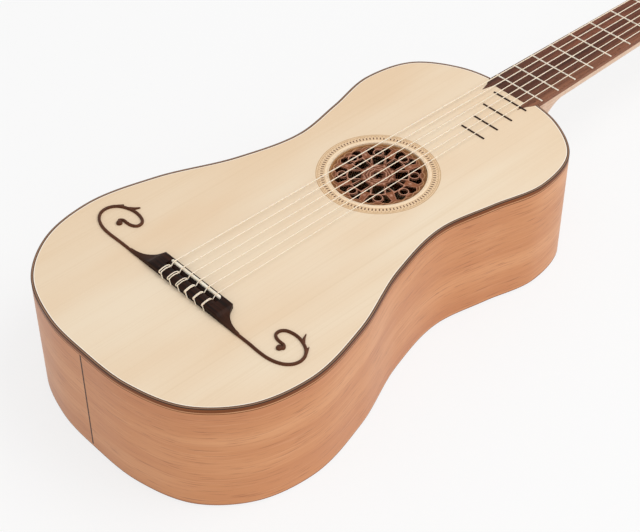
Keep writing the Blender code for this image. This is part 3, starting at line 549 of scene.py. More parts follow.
# Smooth line through knots: cubic pieces; a knot's slope is its two sides' mean, the shorter counting more
def smoothLine(knots, steps, flatEnds=False):
    knots = np.array(knots, float)
    spans = np.linalg.norm(np.diff(knots, axis=0), axis=1)[:, None]
    sides = np.diff(knots, axis=0) / spans
    inner = (sides[:-1] * spans[1:] + sides[1:] * spans[:-1]) / (spans[:-1] + spans[1:])
    slopes = np.concatenate([sides[:1], inner, sides[-1:]])
    if flatEnds:
        slopes[0], slopes[-1] = (1.0, 0.0), (-1.0, 0.0)
    t = (np.arange(steps) / steps)[None, :, None]
    line = (2 * t**3 - 3 * t**2 + 1) * knots[:-1, None] + (3 * t**2 - 2 * t**3) * knots[1:, None]
    lean = (t**3 - 2 * t**2 + t) * slopes[:-1, None] + (t**3 - t**2) * slopes[1:, None]
    line += lean * spans[:, None]
    return np.concatenate([line.reshape(-1, knots.shape[1]), knots[-1:]])


# Unit vectors along a line, and to its right in plan
def alongAndRight(line):
    ahead = np.gradient(line, axis=0)
    ahead /= np.linalg.norm(ahead, axis=1)[:, None]
    return ahead, np.stack([ahead[:, 1], -ahead[:, 0]], axis=1)


# Profile points (out, up) set square to a plan line, out to its right, each row scaled by its own width
def carryProfile(line, profile, widths=None, heights=None):
    line, profile = np.asarray(line, float), np.asarray(profile, float)
    right = alongAndRight(line)[1]
    wide = np.ones(len(line)) if widths is None else np.asarray(widths, float)
    tall = np.ones(len(line)) if heights is None else np.asarray(heights, float)
    plan = line[:, None] + right[:, None] * profile[None, :, :1] * wide[:, None, None]
    up = profile[None, :, 1] * tall[:, None]
    return np.concatenate([plan, up[..., None]], axis=-1)


# Grain coordinates for a carried profile: length along the line, then the profile's own out and up
def carriedGrain(line, profile):
    run = np.concatenate([[0.0], np.cumsum(np.linalg.norm(np.diff(line, axis=0), axis=1))])
    profile = np.asarray(profile, float)
    grain = np.zeros((len(line), len(profile), 3))
    grain[..., 0] = run[:, None]
    grain[..., 1] = profile[None, :, 1]
    grain[..., 2] = profile[None, :, 0]
    return grain


# Body: ribs, bindings and purfling follow one outline

bodyLook = {
    "halfOutline": [
        (0.0, -100.5),
        (44.0, -97.7),
        (88.0, -81.0),
        (116.0, -47.0),
        (125.4, -4.0),
        (114.5, 54.0),
        (90.0, 116.0),
        (79.0, 172.0),
        (87.2, 217.0),
        (97.0, 264.0),
        (86.0, 306.0),
        (52.0, 330.5),
        (0.0, 337.8),
    ],
    "stepsPerSpan": 16,
    "halfWidth": 125.4,
    "depth": 99.0,
    "ribThickness": 2.2,
    "ribTop": -5.27,
    "ribBottom": -96.4,
    "ribRows": 13,
    "bindingWidth": 1.5,
    "bindingHeight": 3.5,
    "arris": [(0.0, -0.3), (-0.04, -0.16), (-0.12, -0.06), (-0.26, 0.0)],
    "slipDepth": 0.55,
    "slipEdges": {"litTop": 0.45, "dark": 1.45, "white": 2.1, "spruce": 2.65, "end": 3.9},
    "slipProud": 0.012,
    "paleHeight": 1.0,
    "redHeight": 0.75,
    "backClear": 0.3,
    "backChamfer": 0.25,
    "backSlipHeight": 0.9,
    "backBindingHeight": 2.3,
    "trebleGrainFrom": 700.0,
    "boardHalf": 25.7,
    "seamAcross": -3.5,
    "seamHalf": 0.8,
    "seamGap": 0.02,
    "upperFrom": 200.0,
    "tailPoints": 20,
}
halfEdge = smoothLine(bodyLook["halfOutline"], bodyLook["stepsPerSpan"], flatEnds=True)
halfEdge[:, 0] *= bodyLook["halfWidth"] / halfEdge[:, 0].max()
halfEdgeRight = alongAndRight(halfEdge)[1]
halfEdgeRight[0], halfEdgeRight[-1] = (0.0, -1.0), (0.0, 1.0)
tailEdge = halfEdge[: bodyLook["tailPoints"]]
upperEdge = halfEdge[halfEdge[:, 1] > bodyLook["upperFrom"]][::-1]


# The body's edge from the neck round the tail and back, cut off at a half width beside the neck
def edgeRoundTail(neckHalf):
    half = halfEdge[(halfEdge[:, 1] < bodyLook["upperFrom"]) | (halfEdge[:, 0] > neckHalf)]
    end = np.array([[neckHalf, np.interp(neckHalf, *upperEdge.T)]])
    half = np.concatenate([half, end])
    return np.concatenate([(half * (-1.0, 1.0))[::-1][:-1], half])


# Half of the body's edge on one side, from the tail seam to the middle of the neck
def edgeOfSide(side):
    first = side * bodyLook["seamAcross"] + bodyLook["seamHalf"]
    half = halfEdge[halfEdge[:, 0] > max(first, 0.0) + 0.3]
    start = np.array([[first, np.interp(max(first, 0.0), *tailEdge.T)]])
    return np.concatenate([start, half]) * (side, 1.0)


# Ribs: a thin upright wall carried along each side of the edge, in rows so that the light rolls over it
def makeRibs():
    thick, top, low = bodyLook["ribThickness"], bodyLook["ribTop"], bodyLook["ribBottom"]
    ups = np.linspace(low, top, bodyLook["ribRows"])
    for name, side in (("rib_bass", -1.0), ("rib_treble", 1.0)):
        line = edgeOfSide(side)
        profile = [(0.0, up) for up in ups] + [(-side * thick, up) for up in ups[::-1]]
        rings = carryProfile(line, profile)
        grain = carriedGrain(line, profile)
        grain[..., 0] += bodyLook["trebleGrainFrom"] * (side > 0)
        barPiece(f"bent_{name}", rings, "rib", stands=[name], grain=grain.reshape(-1, 3))


# A slip's section: from its outer face to its inner edge and from its lower to its upper side
def slipSection(outer, inner, low, high):
    return [(outer, low), (outer, high), (inner, high), (inner, low)]


# The top binding is a walnut band with painted sheen on its top face and painted shade on its top corner, and
# a dark and a white slip inside it, above a pale and a red one. Each is a small rectangle carried round the
# edge, and the back has a slip and a binding of its own.
def makeEdges():
    deep, high, wide = bodyLook["slipDepth"], bodyLook["bindingHeight"], bodyLook["bindingWidth"]
    at, proud = bodyLook["slipEdges"], bodyLook["slipProud"]
    paleLow = -high - bodyLook["paleHeight"]
    redLow = paleLow - bodyLook["redHeight"]
    line = edgeRoundTail(bodyLook["boardHalf"])
    arris = [(0.0, -deep), *bodyLook["arris"], (-at["litTop"], 0.0), (-at["litTop"], -deep)]
    strips = {
        "binding_band": ("binding", slipSection(0.0, -wide, -high, -deep)),
        # Painted shade on the binding's top corner
        "binding_shaded_corner": ("arris", arris),
        # Painted sheen on the binding's top face
        "binding_lit_top": ("walnutTopSheen", slipSection(-at["litTop"], -at["dark"], -deep, 0.0)),
        "purfling_dark": ("darkLine", slipSection(-at["dark"], -at["white"], -deep, proud)),
        "purfling_white": ("whiteLine", slipSection(-at["white"], -at["spruce"], -deep, proud)),
        "soundboard_edge": ("top", slipSection(-at["spruce"], -at["end"], -deep, proud)),
        "purfling_pale": ("paleLine", slipSection(0.0, -wide, paleLow, -high)),
        "purfling_red": ("redLine", slipSection(0.0, -wide, redLow, paleLow)),
    }
    for name, (finish, section) in strips.items():
        stands = ["binding_top"] if name == "binding_band" else []
        grain = carriedGrain(line, section).reshape(-1, 3)
        barPiece(name, carryProfile(line, section), finish, stands=stands, grain=grain)
    whole = np.concatenate([halfEdge, (halfEdge[1:-1] * (-1.0, 1.0))[::-1]])
    right = np.concatenate([halfEdgeRight, (halfEdgeRight[1:-1] * (-1.0, 1.0))[::-1]])
    low = -bodyLook["depth"] + bodyLook["backClear"]
    slipTop = low + bodyLook["backSlipHeight"]
    cut = bodyLook["backChamfer"]
    slip = [(-cut, low), (0.0, low + cut), (0.0, slipTop), (-wide, slipTop), (-wide, low)]
    hoops = {
        "back_binding": ("rib", slipSection(0.0, -wide, slipTop, low + bodyLook["backBindingHeight"])),
        "back_slip": ("redLine", slip),
    }
    for name, (finish, section) in hoops.items():
        section = np.array(section)
        plan = whole[:, None] + right[:, None] * section[None, :, :1]
        up = np.broadcast_to(section[None, :, 1:], (*plan.shape[:2], 1))
        grain = carriedGrain(whole, section).reshape(-1, 3)
        stands = ["binding_back"] if name == "back_binding" else []
        hoopPiece(name, np.concatenate([plan, up], axis=-1), finish, stands=stands, grain=grain)


# The tail seam's dark slip stands between the rib ends, flush with them
def makeTailSlip():
    half = bodyLook["seamHalf"] - bodyLook["seamGap"]
    across = bodyLook["seamAcross"] + np.linspace(-half, half, 5)
    edge = np.interp(np.abs(across), *tailEdge.T)
    outer = np.stack([across, edge], axis=-1)
    inner = np.stack([across, edge + bodyLook["ribThickness"]], axis=-1)[::-1]
    plan = np.concatenate([outer, inner])
    heights = (bodyLook["ribBottom"], bodyLook["ribTop"])
    rings = np.stack([np.concatenate([plan, np.full((len(plan), 1), z)], axis=-1) for z in heights])
    barPiece("tail_slip", rings, "seamLine", stands=["tail_strip"])


makeRibs()
makeEdges()
makeTailSlip()
print("ribs, bindings and purfling made")


# Rosette: inlaid rings and radial dashes round the hole, scraped level with the top

rosetteLook = {
    "depth": 1.2,
    # Finish, inner and outer radius, and top
    "rings": {
        "rosette_inner": ("ringPale", 39.15, 41.4, 0.01),
        "rosette_thread": ("ringTan", 41.4, 41.75, 0.01),
        "rosette_field": ("ring", 41.75, 46.3, 0.0),
        "rosette_tan": ("ringTan", 46.3, 46.8, 0.01),
        "rosette_outer": ("ring", 46.8, 47.6, 0.0),
        "rosette_edge": ("ringTan", 47.6, 48.28, 0.01),
    },
    "ringSteps": 180,
    "dashes": 100,
    "dashLow": -0.4,
    "dashTop": 0.02,
    # Finish, near and far end, half width, and how far into its step a row starts
    "dashRows": {
        "rosette_dashes": ("ringDark", 42.25, 44.65, 0.5, 0.0),
        "rosette_faint_dashes": ("ringTan", 45.1, 46.1, 0.42, 0.5),
    },
}


# A flat ring turned about the hole: a rectangle carried round a circle
def turnedRing(name, finish, inner, outer, low, top, stands=()):
    turn = 2 * np.pi * np.arange(rosetteLook["ringSteps"])[:, None] / rosetteLook["ringSteps"]
    out, up = np.array([(inner, low), (outer, low), (outer, top), (inner, top)]).T
    rings = ringsFrom(np.cos(turn) * out + holeCentre[0], np.sin(turn) * out + holeCentre[1], up)
    hoopPiece(name, rings, finish, stands=stands)


# A row of dashes: one small tapered box, turned about the hole as often as there are dashes
def dashRow(name, finish, near, far, half, offset):
    low, top = rosetteLook["dashLow"], rosetteLook["dashTop"]
    narrow = half * 0.9
    corner = np.array([(near, -narrow, low), (far, -half, low), (far, half, low), (near, narrow, low)])
    corner = np.concatenate([corner, corner * (1.0, 1.0, 0.0) + (0.0, 0.0, top)])
    turn = 2 * np.pi * (np.arange(rosetteLook["dashes"])[:, None] + offset) / rosetteLook["dashes"]
    c, s = np.cos(turn), np.sin(turn)
    out, side, up = corner.T
    points = ringsFrom(c * out - s * side + holeCentre[0], s * out + c * side + holeCentre[1], up)
    box = np.array([(3, 2, 1, 0), (4, 5, 6, 7), (0, 1, 5, 4), (1, 2, 6, 5), (2, 3, 7, 6), (3, 0, 4, 7)])
    faces = box[None] + len(corner) * np.arange(len(turn))[:, None, None]
    makePiece(name, points, faces.reshape(-1, 4).tolist(), finish)


# Rings first, then the rows of dashes let into the widest of them
def makeRosette():
    for name, (finish, inner, outer, top) in rosetteLook["rings"].items():
        stands = ["rosette_ring"] if name == "rosette_field" else []
        turnedRing(name, finish, inner, outer, -rosetteLook["depth"], top, stands)
    for name, row in rosetteLook["dashRows"].items():
        dashRow(name, *row)


makeRosette()


# Rose: one carved sheet whose openings and ridges come from distances to a few drawn lines

roseLook = {
    "inner": 1.9,
    "radius": 37.9,
    "top": -1.1,
    "thickness": 1.5,
    "relief": 0.8,
    "aroundSteps": 560,
    "outSteps": 110,
    # Step that slopes are measured over, and the limits on how flat they count and how far a point moves
    "slopeStep": 0.02,
    "flattest": 0.3,
    "farthest": 0.5,
    "cells": 8,
    "wider": 0.35,
    # Rounded square: its middle, half depth, half width, corner radius, and how much its sides open out
    "square": (18.2, 4.5, 4.4, 0.7, 0.03),
    # Wedge between two cells: its tip, base and slope
    "wedge": (15.3, 21.5, 0.31),
    # Bay: near and far sides, shoulder and its lean, then an outer corner's two places and its lean
    "bay": (24.6, 32.9, 6.2, 0.58, 9.1, 31.2, 0.88),
    # Small ring in the bay: its middle, radius and half width, and the link that holds it
    "ring": (27.8, 3.75, 0.95),
    "link": (2.5, 31.0, 0.8),
    # Star at the middle: its radius, how much that swings, and its points
    "star": (3.0, 0.8, 6),
    # Pinwheels of the woven middle: distance, half width, half length and hand
    "pinwheels": [(8.3, 0.8, 4.6, 1), (10.7, 0.8, 5.4, -1)],
    "wovenFrom": 6.8,
    "wovenGround": 0.15,
    "middleTo": 13.4,
    # How far from an opening the carving has its full height
    "fullFrom": 0.32,
    # Flat ground: where it steps down, its heights inside and outside that, and the edge under the rosette
    "ground": (33.4, 0.36, 0.24),
    "edge": (37.2, 0.55),
    # Bars beside the squares: how far from the cell's middle, how wide, and between which places
    "bars": (5.4, 0.75, 13.6, 23.2),
    # Arcs over the squares: how far out, how wide, and their half length
    "arcs": (23.6, 0.62, 6.2),
    # Ridge along the small rings: how wide, and out to where
    "ringRidge": (0.65, 33.0),
    # Bosses between the bays: how far out, half length, half width and height
    "bosses": (26.6, 2.2, 1.7, 0.85),
    # Lips of the bays: how far from the opening, how wide, how high, and from where
    "lips": (0.65, 0.42, 0.75, 24.0),
    # Scallops: how far out, how much that swings, waves in half a turn, width, height, and from where
    "scallops": (34.0, 1.9, 12, 0.55, 0.85, 33.2),
    # Octagon round the star, then knobs at the pinwheels' corners: how far out and how wide
    "octagon": (6.2, 0.6, 7.4),
    "knobs": (11.9, 1.2),
    # Inner and outer radius, bottom and top of the rim that the rose is glued by
    "rim": (34.5, 43.0, -4.5, -2.6),
}


# Places on the rose: reach and angle, then along and across a cell, then the same on the line between cells
def roseCell(x, y):
    half = np.pi / roseLook["cells"]
    reach, turn = np.hypot(x, y), np.arctan2(y, x)
    cell = (turn + half) % (2 * half) - half
    between = half - np.abs(cell)
    u, v = reach * np.cos(cell), np.abs(reach * np.sin(cell))
    return reach, turn, u, v, reach * np.cos(between), reach * np.sin(between)


# Distance past a slanted line that rises by its lean from (start, level)
def pastLine(along, across, start, level, lean):
    return (across - level - (along - start) * lean) / math.hypot(1.0, lean)


# Below zero inside an opening: each cell has a rounded square, a wedge beside it, and a bay with a small ring
def roseOpenings(x, y):
    reach, turn, u, v, p, q = roseCell(x, y)
    middle, deep, wide, corner, lean = roseLook["square"]
    overU = np.abs(u - middle) - deep + corner
    overV = v - wide - lean * (u - middle) + corner
    square = np.hypot(np.maximum(overU, 0.0), np.maximum(overV, 0.0)) - corner
    square += np.minimum(np.maximum(overU, overV), 0.0)
    tip, base, slope = roseLook["wedge"]
    wedge = np.maximum(pastLine(p, q, tip, 0.0, slope), p - base)
    near, far, shoulder, lean, cornerV, cornerU, cornerLean = roseLook["bay"]
    shoulders = pastLine(u, v, near, shoulder, lean)
    corners = pastLine(u, v, cornerU, cornerV, -cornerLean)
    ringAt, ringRadius, ringHalf = roseLook["ring"]
    ring = np.abs(np.hypot(u - ringAt, v) - ringRadius) - ringHalf
    linkHalf, linkAt, linkLean = roseLook["link"]
    link = np.maximum(pastLine(u, v, linkAt, linkHalf, linkLean), ringAt + ringRadius - u)
    bay = np.maximum.reduce([near - u, u - far, shoulders, corners, -ring, -link])
    size, swing, points = roseLook["star"]
    star = reach - (size + swing * np.cos(points * turn))
    return np.minimum.reduce([square, wedge, bay, star]) - roseLook["wider"]


# Straight bars laid as a pinwheel: each is highest at one end, so it goes over one bar and under the next
def rosePinwheel(x, y, distance, half, reachAlong, hand):
    angle = (np.arange(roseLook["cells"])[:, None] + 0.5) * 2 * np.pi / roseLook["cells"]
    c, s = np.cos(angle), np.sin(angle)
    away = np.abs(x * c + y * s - distance)
    along = hand * (y * c - x * s) / reachAlong
    crown = np.sqrt(np.clip(1 - (away / half) ** 2, 0.0, 1.0)) * (np.abs(along) < 1.0)
    return (crown * (0.7 + 0.3 * along) * (1 - np.clip(np.abs(along), 0.0, 1.0) ** 8)).max(axis=0)


# A rounded ridge: 1 on its crest, falling off as a bell curve with the distance from it
def ridge(distance, spread=1.0):
    return np.exp(-((distance / spread) ** 2))


# Height of the carving from 0 to 1: the highest of its ridges, and nought at the lip of an opening
def roseRelief(x, y, opening):
    reach, turn, u, v, p, q = roseCell(x, y)
    step, inside, outside = roseLook["ground"]
    ground = np.where(reach < step, inside, outside)
    far, wide, start, end = roseLook["bars"]
    bars = ridge(v - far, wide) * ((u > start) & (u < end))
    far, wide, half = roseLook["arcs"]
    arcs = ridge(reach - far, wide) * (v < half)
    ringAt, ringRadius = roseLook["ring"][:2]
    wide, end = roseLook["ringRidge"]
    rings = ridge(np.hypot(u - ringAt, v) - ringRadius, wide) * (reach < end)
    far, length, wide, high = roseLook["bosses"]
    bosses = high * ridge(np.hypot((p - far) / length, q / wide))
    far, wide, high, start = roseLook["lips"]
    lips = high * ridge(opening - far, wide) * (reach > start)
    far, swing, waves, wide, high, start = roseLook["scallops"]
    scallops = high * ridge(reach - far - swing * np.abs(np.cos(waves * turn)), wide) * (reach > start)
    outer = np.maximum.reduce([ground, bars, arcs, rings, bosses, lips, scallops])
    far, wide, end = roseLook["octagon"]
    octagon = ridge(u - far, wide) * (reach < end)
    far, wide = roseLook["knobs"]
    knobs = ridge(np.hypot(p - far, q), wide)
    woven = np.maximum.reduce([rosePinwheel(x, y, *pinwheel) for pinwheel in roseLook["pinwheels"]])
    woven = woven * (reach > roseLook["wovenFrom"]) * (reach < roseLook["middleTo"])
    middle = np.maximum.reduce([np.full_like(reach, roseLook["wovenGround"]), octagon, knobs, woven])
    height = np.where(reach < roseLook["middleTo"], middle, outer)
    start, high = roseLook["edge"]
    height = np.where(reach > start, high, height)
    return np.clip(height, 0.0, 1.0) * np.clip(opening / roseLook["fullFrom"], 0.0, 1.0)


# A disc of points round the hole: points just inside an opening move out to its lip along the steepest way,
# faces further in are left out, and the rest is lifted by the relief and given its thickness
def makeRose():
    around, out = roseLook["aroundSteps"], roseLook["outSteps"]
    turn = 2 * np.pi * np.arange(around) / around
    reach = np.linspace(roseLook["inner"], roseLook["radius"], out)
    x = (reach[:, None] * np.cos(turn)).ravel()
    y = (reach[:, None] * np.sin(turn)).ravel()
    opening = roseOpenings(x, y)
    faces = gridFaces(out, around)
    faces = faces[(opening[faces] > 0.0).sum(axis=1) >= 2]
    step = roseLook["slopeStep"]
    slopeX = (roseOpenings(x + step, y) - roseOpenings(x - step, y)) / (2 * step)
    slopeY = (roseOpenings(x, y + step) - roseOpenings(x, y - step)) / (2 * step)
    steep = np.maximum(slopeX**2 + slopeY**2, roseLook["flattest"])
    back = np.clip(np.minimum(opening, 0.0) / steep, -roseLook["farthest"], 0.0)
    x, y = x - slopeX * back, y - slopeY * back
    carve = roseRelief(x, y, np.maximum(opening, 0.0))
    z = roseLook["top"] - roseLook["relief"] * (1.0 - carve)
    used, faces = np.unique(faces, return_inverse=True)
    faces = faces.reshape(-1, 4)[:, ::-1]
    points = np.stack([x, y + holeCentre[1], z], axis=-1)[used]
    mesh = bpy.data.meshes.new("carved_rose")
    mesh.from_pydata((points * 0.001 + zeroPoint).tolist(), [], faces.tolist())
    mesh.attributes.new("carve", "FLOAT", "POINT").data.foreach_set("value", carve[used].astype(np.float32))
    if sum(polygon.normal.z for polygon in mesh.polygons[:50]) < 0:
        mesh.flip_normals()
    mesh.shade_smooth()
    rose = setPiece("carved_rose", mesh, "rose", stands=["rose"])
    wall = rose.modifiers.new("sheet thickness", "SOLIDIFY")
    wall.thickness = roseLook["thickness"] * 0.001
    wall.offset = -1.0
    turnedRing("rose_rim", "rose", *roseLook["rim"])


makeRose()
print("rosette and rose made")


# Bridge: one profile carried across the guitar. Its tie block is arched, and its ramp and saddle slot are cut
# between the ends.

bridgeLook = {
    "rear": -13.4,
    "front": 3.0,
    "height": 4.7,
    "tiedTo": 27.35,
    "rampHalf": 27.6,
    "rampEase": 0.12,
    "plainAt": [29.0, 33.0],
    # Distance from the middle, front edge and height
    "ends": [
        (37.0, 3.0, 4.7),
        (38.4, 0.6, 4.1),
        (40.2, -2.2, 3.4),
        (43.6, -5.4, 2.7),
        (48.6, -8.4, 2.1),
        (55.0, -10.4, 1.9),
        (60.0, -11.05, 1.9),
    ],
    # From rear to front: place along, height at the plain ends, height where the strings are tied
    "profile": [
        (-13.4, 0.0, 0.0),
        (-13.4, 2.2, 2.2),
        (-13.4, 3.5, 3.3),
        (-13.28, 4.1, 3.85),
        (-12.9, 4.5, 4.25),
        (-12.0, 4.66, 4.62),
        (-10.4, 4.7, 4.98),
        (-9.0, 4.7, 5.14),
        (-7.4, 4.7, 5.04),
        (-6.0, 4.7, 4.78),
        (-5.2, 4.7, 4.5),
        (-4.7, 4.7, 4.25),
        (-4.45, 4.7, 3.9),
        (-4.4, 4.7, 3.2),
        (-4.3, 4.7, 2.2),
        (-1.35, 4.7, 4.5),
        (-1.25, 4.7, 4.5),
        (-1.24, 4.7, 2.0),
        (1.64, 4.7, 2.0),
        (1.65, 4.7, 4.62),
        (1.75, 4.7, 4.7),
        (2.4, 4.66, 4.66),
        (2.8, 4.5, 4.5),
        (3.0, 4.1, 4.1),
        (3.0, 2.2, 2.2),
        (3.0, 0.0, 0.0),
    ],
}


# Rows of the profile from the middle outwards: tied, then plain, then drawn in along the ends' curve
def makeBridge():
    rear, front, high = bridgeLook["rear"], bridgeLook["front"], bridgeLook["height"]
    profile = np.array(bridgeLook["profile"])
    plain, tied = profile[:, [0, 1]], profile[:, [0, 2]]
    inner = np.linspace(0.0, bridgeLook["tiedTo"], 12)
    step = bridgeLook["rampHalf"] + bridgeLook["rampEase"] * np.array([-1.0, 0.0, 1.0])
    outer = smoothLine(bridgeLook["ends"], 6)
    half = np.concatenate([inner, step, bridgeLook["plainAt"], outer[:, 0]])
    share = np.interp(half, [step[0], step[-1]], [1.0, 0.0])[:, None, None]
    rows = tied[None] * share + plain[None] * (1 - share)
    frontAt = np.interp(half, outer[:, 0], outer[:, 1])
    tall = np.interp(half, outer[:, 0], outer[:, 2])
    rows[..., 0] = rear + (rows[..., 0] - rear) * ((frontAt - rear) / (front - rear))[:, None]
    rows[..., 1] = rows[..., 1] * (tall / high)[:, None]
    across = np.broadcast_to(half[:, None, None], (*rows.shape[:2], 1))
    right = np.concatenate([across, rows], axis=-1)
    left = (right * (-1.0, 1.0, 1.0))[::-1][:-1]
    barPiece("carved_bridge", np.concatenate([left, right]), "bridge", stands=["bridge"], sharp=35.0)


# Saddle: a bone slip with a rounded crown, its height and width easing off at its ends
def makeSaddle():
    look = {"half": 26.9, "low": 2.05, "top": 6.0, "halfThick": 1.2, "endLength": 1.4}
    x = look["half"] * np.sin(np.linspace(-np.pi / 2, np.pi / 2, 61))
    near = np.clip((look["half"] - np.abs(x)) / look["endLength"], 0.0, 1.0)
    ease = np.sqrt(1 - (1 - near) ** 2)
    turn = np.linspace(0.0, np.pi, 13)
    out = np.concatenate([[1.0], np.cos(turn), [-1.0]])
    up = np.concatenate([[0.0], 0.78 + 0.22 * np.sin(turn), [0.0]])
    along = saddleMiddle + look["halfThick"] * out * (0.15 + 0.85 * ease)[:, None]
    height = look["low"] + (look["top"] - look["low"]) * up * (0.72 + 0.28 * ease)[:, None]
    barPiece("bone_saddle", ringsFrom(x[:, None], along, height), "bone", stands=["saddle"])


makeBridge()
makeSaddle()


# Scrolls: a rounded stem with a blunt round eye, a leaf and a spur on each side of the bridge

scrollLook = {
    "halfWidth": 1.18,
    "height": 1.95,
    "trebleShare": 0.97,
    # Each part: its knots in plan, and its width along them
    "stem": (
        [
            (57.0, -12.2), (60.6, -12.2), (72.0, -12.2), (84.0, -12.5), (91.8, -12.0),
            (99.0, -10.1), (104.5, -7.1), (108.3, -2.4), (109.2, 3.2), (107.4, 8.4),
            (104.0, 12.0), (97.6, 15.2), (91.2, 16.6), (84.7, 16.2), (79.8, 14.4),
            (77.3, 11.2), (77.5, 7.6), (81.0, 5.1), (86.0, 4.4), (90.0, 4.1),
            (91.8, 1.9), (89.4, 0.2),
        ],
        [1.0, 1.0],
    ),
    "leaf": ([(97.9, 15.1), (96.6, 16.4), (94.6, 18.6), (92.4, 22.4)], [1.1, 1.05, 0.85, 0.25]),
    "spur": ([(106.4, 9.6), (105.4, 11.4), (104.4, 13.3), (103.4, 15.4)], [1.0, 0.9, 0.6, 0.2]),
    "eyeRadius": 2.35,
    "eyeStraight": 0.9,
    "eyeHeight": 2.3,
}


# A blunt round eye: a turned button that rises straight from the soundboard, then curves in to its top
def makeScrollEye(name, across, along):
    lift = np.linspace(0.0, np.pi / 2, 9)
    radius = np.concatenate([[scrollLook["eyeRadius"]], scrollLook["eyeRadius"] * np.cos(lift) ** 0.7])
    radius[-1] = 0.02
    straight = scrollLook["eyeStraight"]
    up = np.concatenate([[0.0], straight + (scrollLook["eyeHeight"] - straight) * np.sin(lift)])
    around = np.linspace(0.0, 2 * np.pi, 33)[:-1]
    out, side = radius[:, None] * np.cos(around), radius[:, None] * np.sin(around)
    barPiece(f"{name}_eye", ringsFrom(across + out, along + side, up[:, None]), "scroll")


# Stem, leaf and spur are one domed profile carried along their lines
def makeScrolls():
    turn = np.linspace(0.0, np.pi, 11)
    domed = np.stack([np.cos(turn) * scrollLook["halfWidth"], np.sin(turn) ** 0.8], axis=-1)
    profile = np.concatenate([[(scrollLook["halfWidth"], 0.0)], domed, [(-scrollLook["halfWidth"], 0.0)]])
    stem = scrollLook["stem"][0]
    start = stem[1][0]
    for name, side, share in (("scroll_bass", -1.0, 1.0), ("scroll_treble", 1.0, scrollLook["trebleShare"])):
        for part in ("stem", "leaf", "spur"):
            knots, widths = scrollLook[part]
            line = smoothLine(knots, 8)
            line[:, 0] = side * (start + (line[:, 0] - start) * share)
            run = np.linspace(0.0, 1.0, len(line))
            wide = np.interp(run, np.linspace(0.0, 1.0, len(widths)), widths)
            tall = scrollLook["height"] * (0.55 + 0.45 * wide / wide.max())
            rings = carryProfile(line, profile, wide, tall)
            stands = [name] if part == "stem" else []
            barPiece(f"{name}_{part}", rings, "scroll", stands=stands)
        makeScrollEye(name, side * (start + (stem[-1][0] - start) * share), stem[-1][1])


makeScrolls()
print("bridge, saddle and scrolls made")


# Neck with its heel: sections that deepen evenly, then sweep down a quarter ellipse to the body's back

neckLook = {
    "nutAt": 649.0,
    "nutLength": 4.5,
    "jointAt": 336.8,
    "halfAtJoint": 25.4,
    "halfAtNut": 19.3,
    "boardThick": 4.0,
    "depthAtNut": 14.2,
    "depthAtHeel": 15.8,
    "heelStart": 374.0,
    "heelFoot": 350.5,
    "heelBottomHalf": 7.0,
    "heelClear": 1.3,
    # How far down the body's depth the heel becomes square
    "squareBy": 0.72,
    # Places past the nut, and how much shallower the neck is there where it rises into the head
    "headRise": ([-12.0, -3.0, 4.8], [0.0, 1.4, 4.2]),
}


# Half the fingerboard's width, which narrows evenly from the body to the nut
def boardHalf(y):
    share = (y - neckLook["jointAt"]) / (neckLook["nutAt"] - neckLook["jointAt"])
    return neckLook["halfAtJoint"] + (neckLook["halfAtNut"] - neckLook["halfAtJoint"]) * share


# Each section is a squared arch under the board, rounder along the neck and narrower at the heel's foot
def makeNeck():
    nut, joint = neckLook["nutAt"], neckLook["jointAt"]
    start, foot = neckLook["heelStart"], neckLook["heelFoot"]
    heel = foot + (start - foot) * np.linspace(0.0, 1.0, 40) ** 1.6
    y = np.concatenate([np.linspace(joint - 3.0, foot, 7)[:-1], heel, np.linspace(start, nut - 12.0, 30)[1:]])
    y = np.concatenate([y, nut + np.array([-8.0, -3.0, 1.0, neckLook["nutLength"] + 0.3])])
    lowShare = np.clip((nut - y) / (nut - start), 0.0, 1.0)
    depth = neckLook["depthAtNut"] + (neckLook["depthAtHeel"] - neckLook["depthAtNut"]) * lowShare
    heelShare = np.clip((start - y) / (start - foot), 0.0, 1.0)
    full = bodyLook["depth"] - neckLook["boardThick"] - neckLook["heelClear"]
    depth = depth + (full - neckLook["depthAtHeel"]) * (1 - np.sqrt(1 - heelShare**2))
    pastNut, shallower = neckLook["headRise"]
    depth = depth - np.interp(y, nut + np.array(pastNut), shallower)
    tall = (depth - neckLook["depthAtHeel"]) / (bodyLook["depth"] * neckLook["squareBy"])
    tall = np.clip(tall, 0.0, 1.0)[:, None]
    turn = np.linspace(0.0, np.pi, 41)[None]
    across = np.sign(np.cos(turn)) * np.abs(np.cos(turn)) ** (0.96 - 0.06 * tall)
    down = np.maximum(np.sin(turn), 0.0) ** (0.9 - 0.45 * tall)
    half = boardHalf(y)[:, None]
    wide = half - (half - neckLook["heelBottomHalf"]) * tall * down**1.2
    edge = np.interp(np.abs(across * wide), *upperEdge.T)
    up = -neckLook["boardThick"] - 0.05 - (depth[:, None] - 0.05) * down
    rings = ringsFrom(across * wide, np.maximum(y[:, None], edge + 0.03), up)
    barPiece("carved_neck", rings, "neck", stands=["neck"])


# Frets: half-round bars, metal across the board and short ebony ones on the soundboard
fretLook = {
    "scale": 650.0,
    "setback": 1.0,
    "height": 0.95,
    "halfWidth": 0.75,
    "endGap": 0.15,
    # Distance from an end, and how far the bar has come up there
    "ends": [(0.0, 0.55), (0.12, 0.85), (0.5, 1.0)],
    "count": 15,
    "ebonyFrom": 12,
    "bassEnds": (-10.0, -5.0, 0.0, 2.5),
    "trebleEnds": (25.0, 26.0, 26.4, 26.7),
}


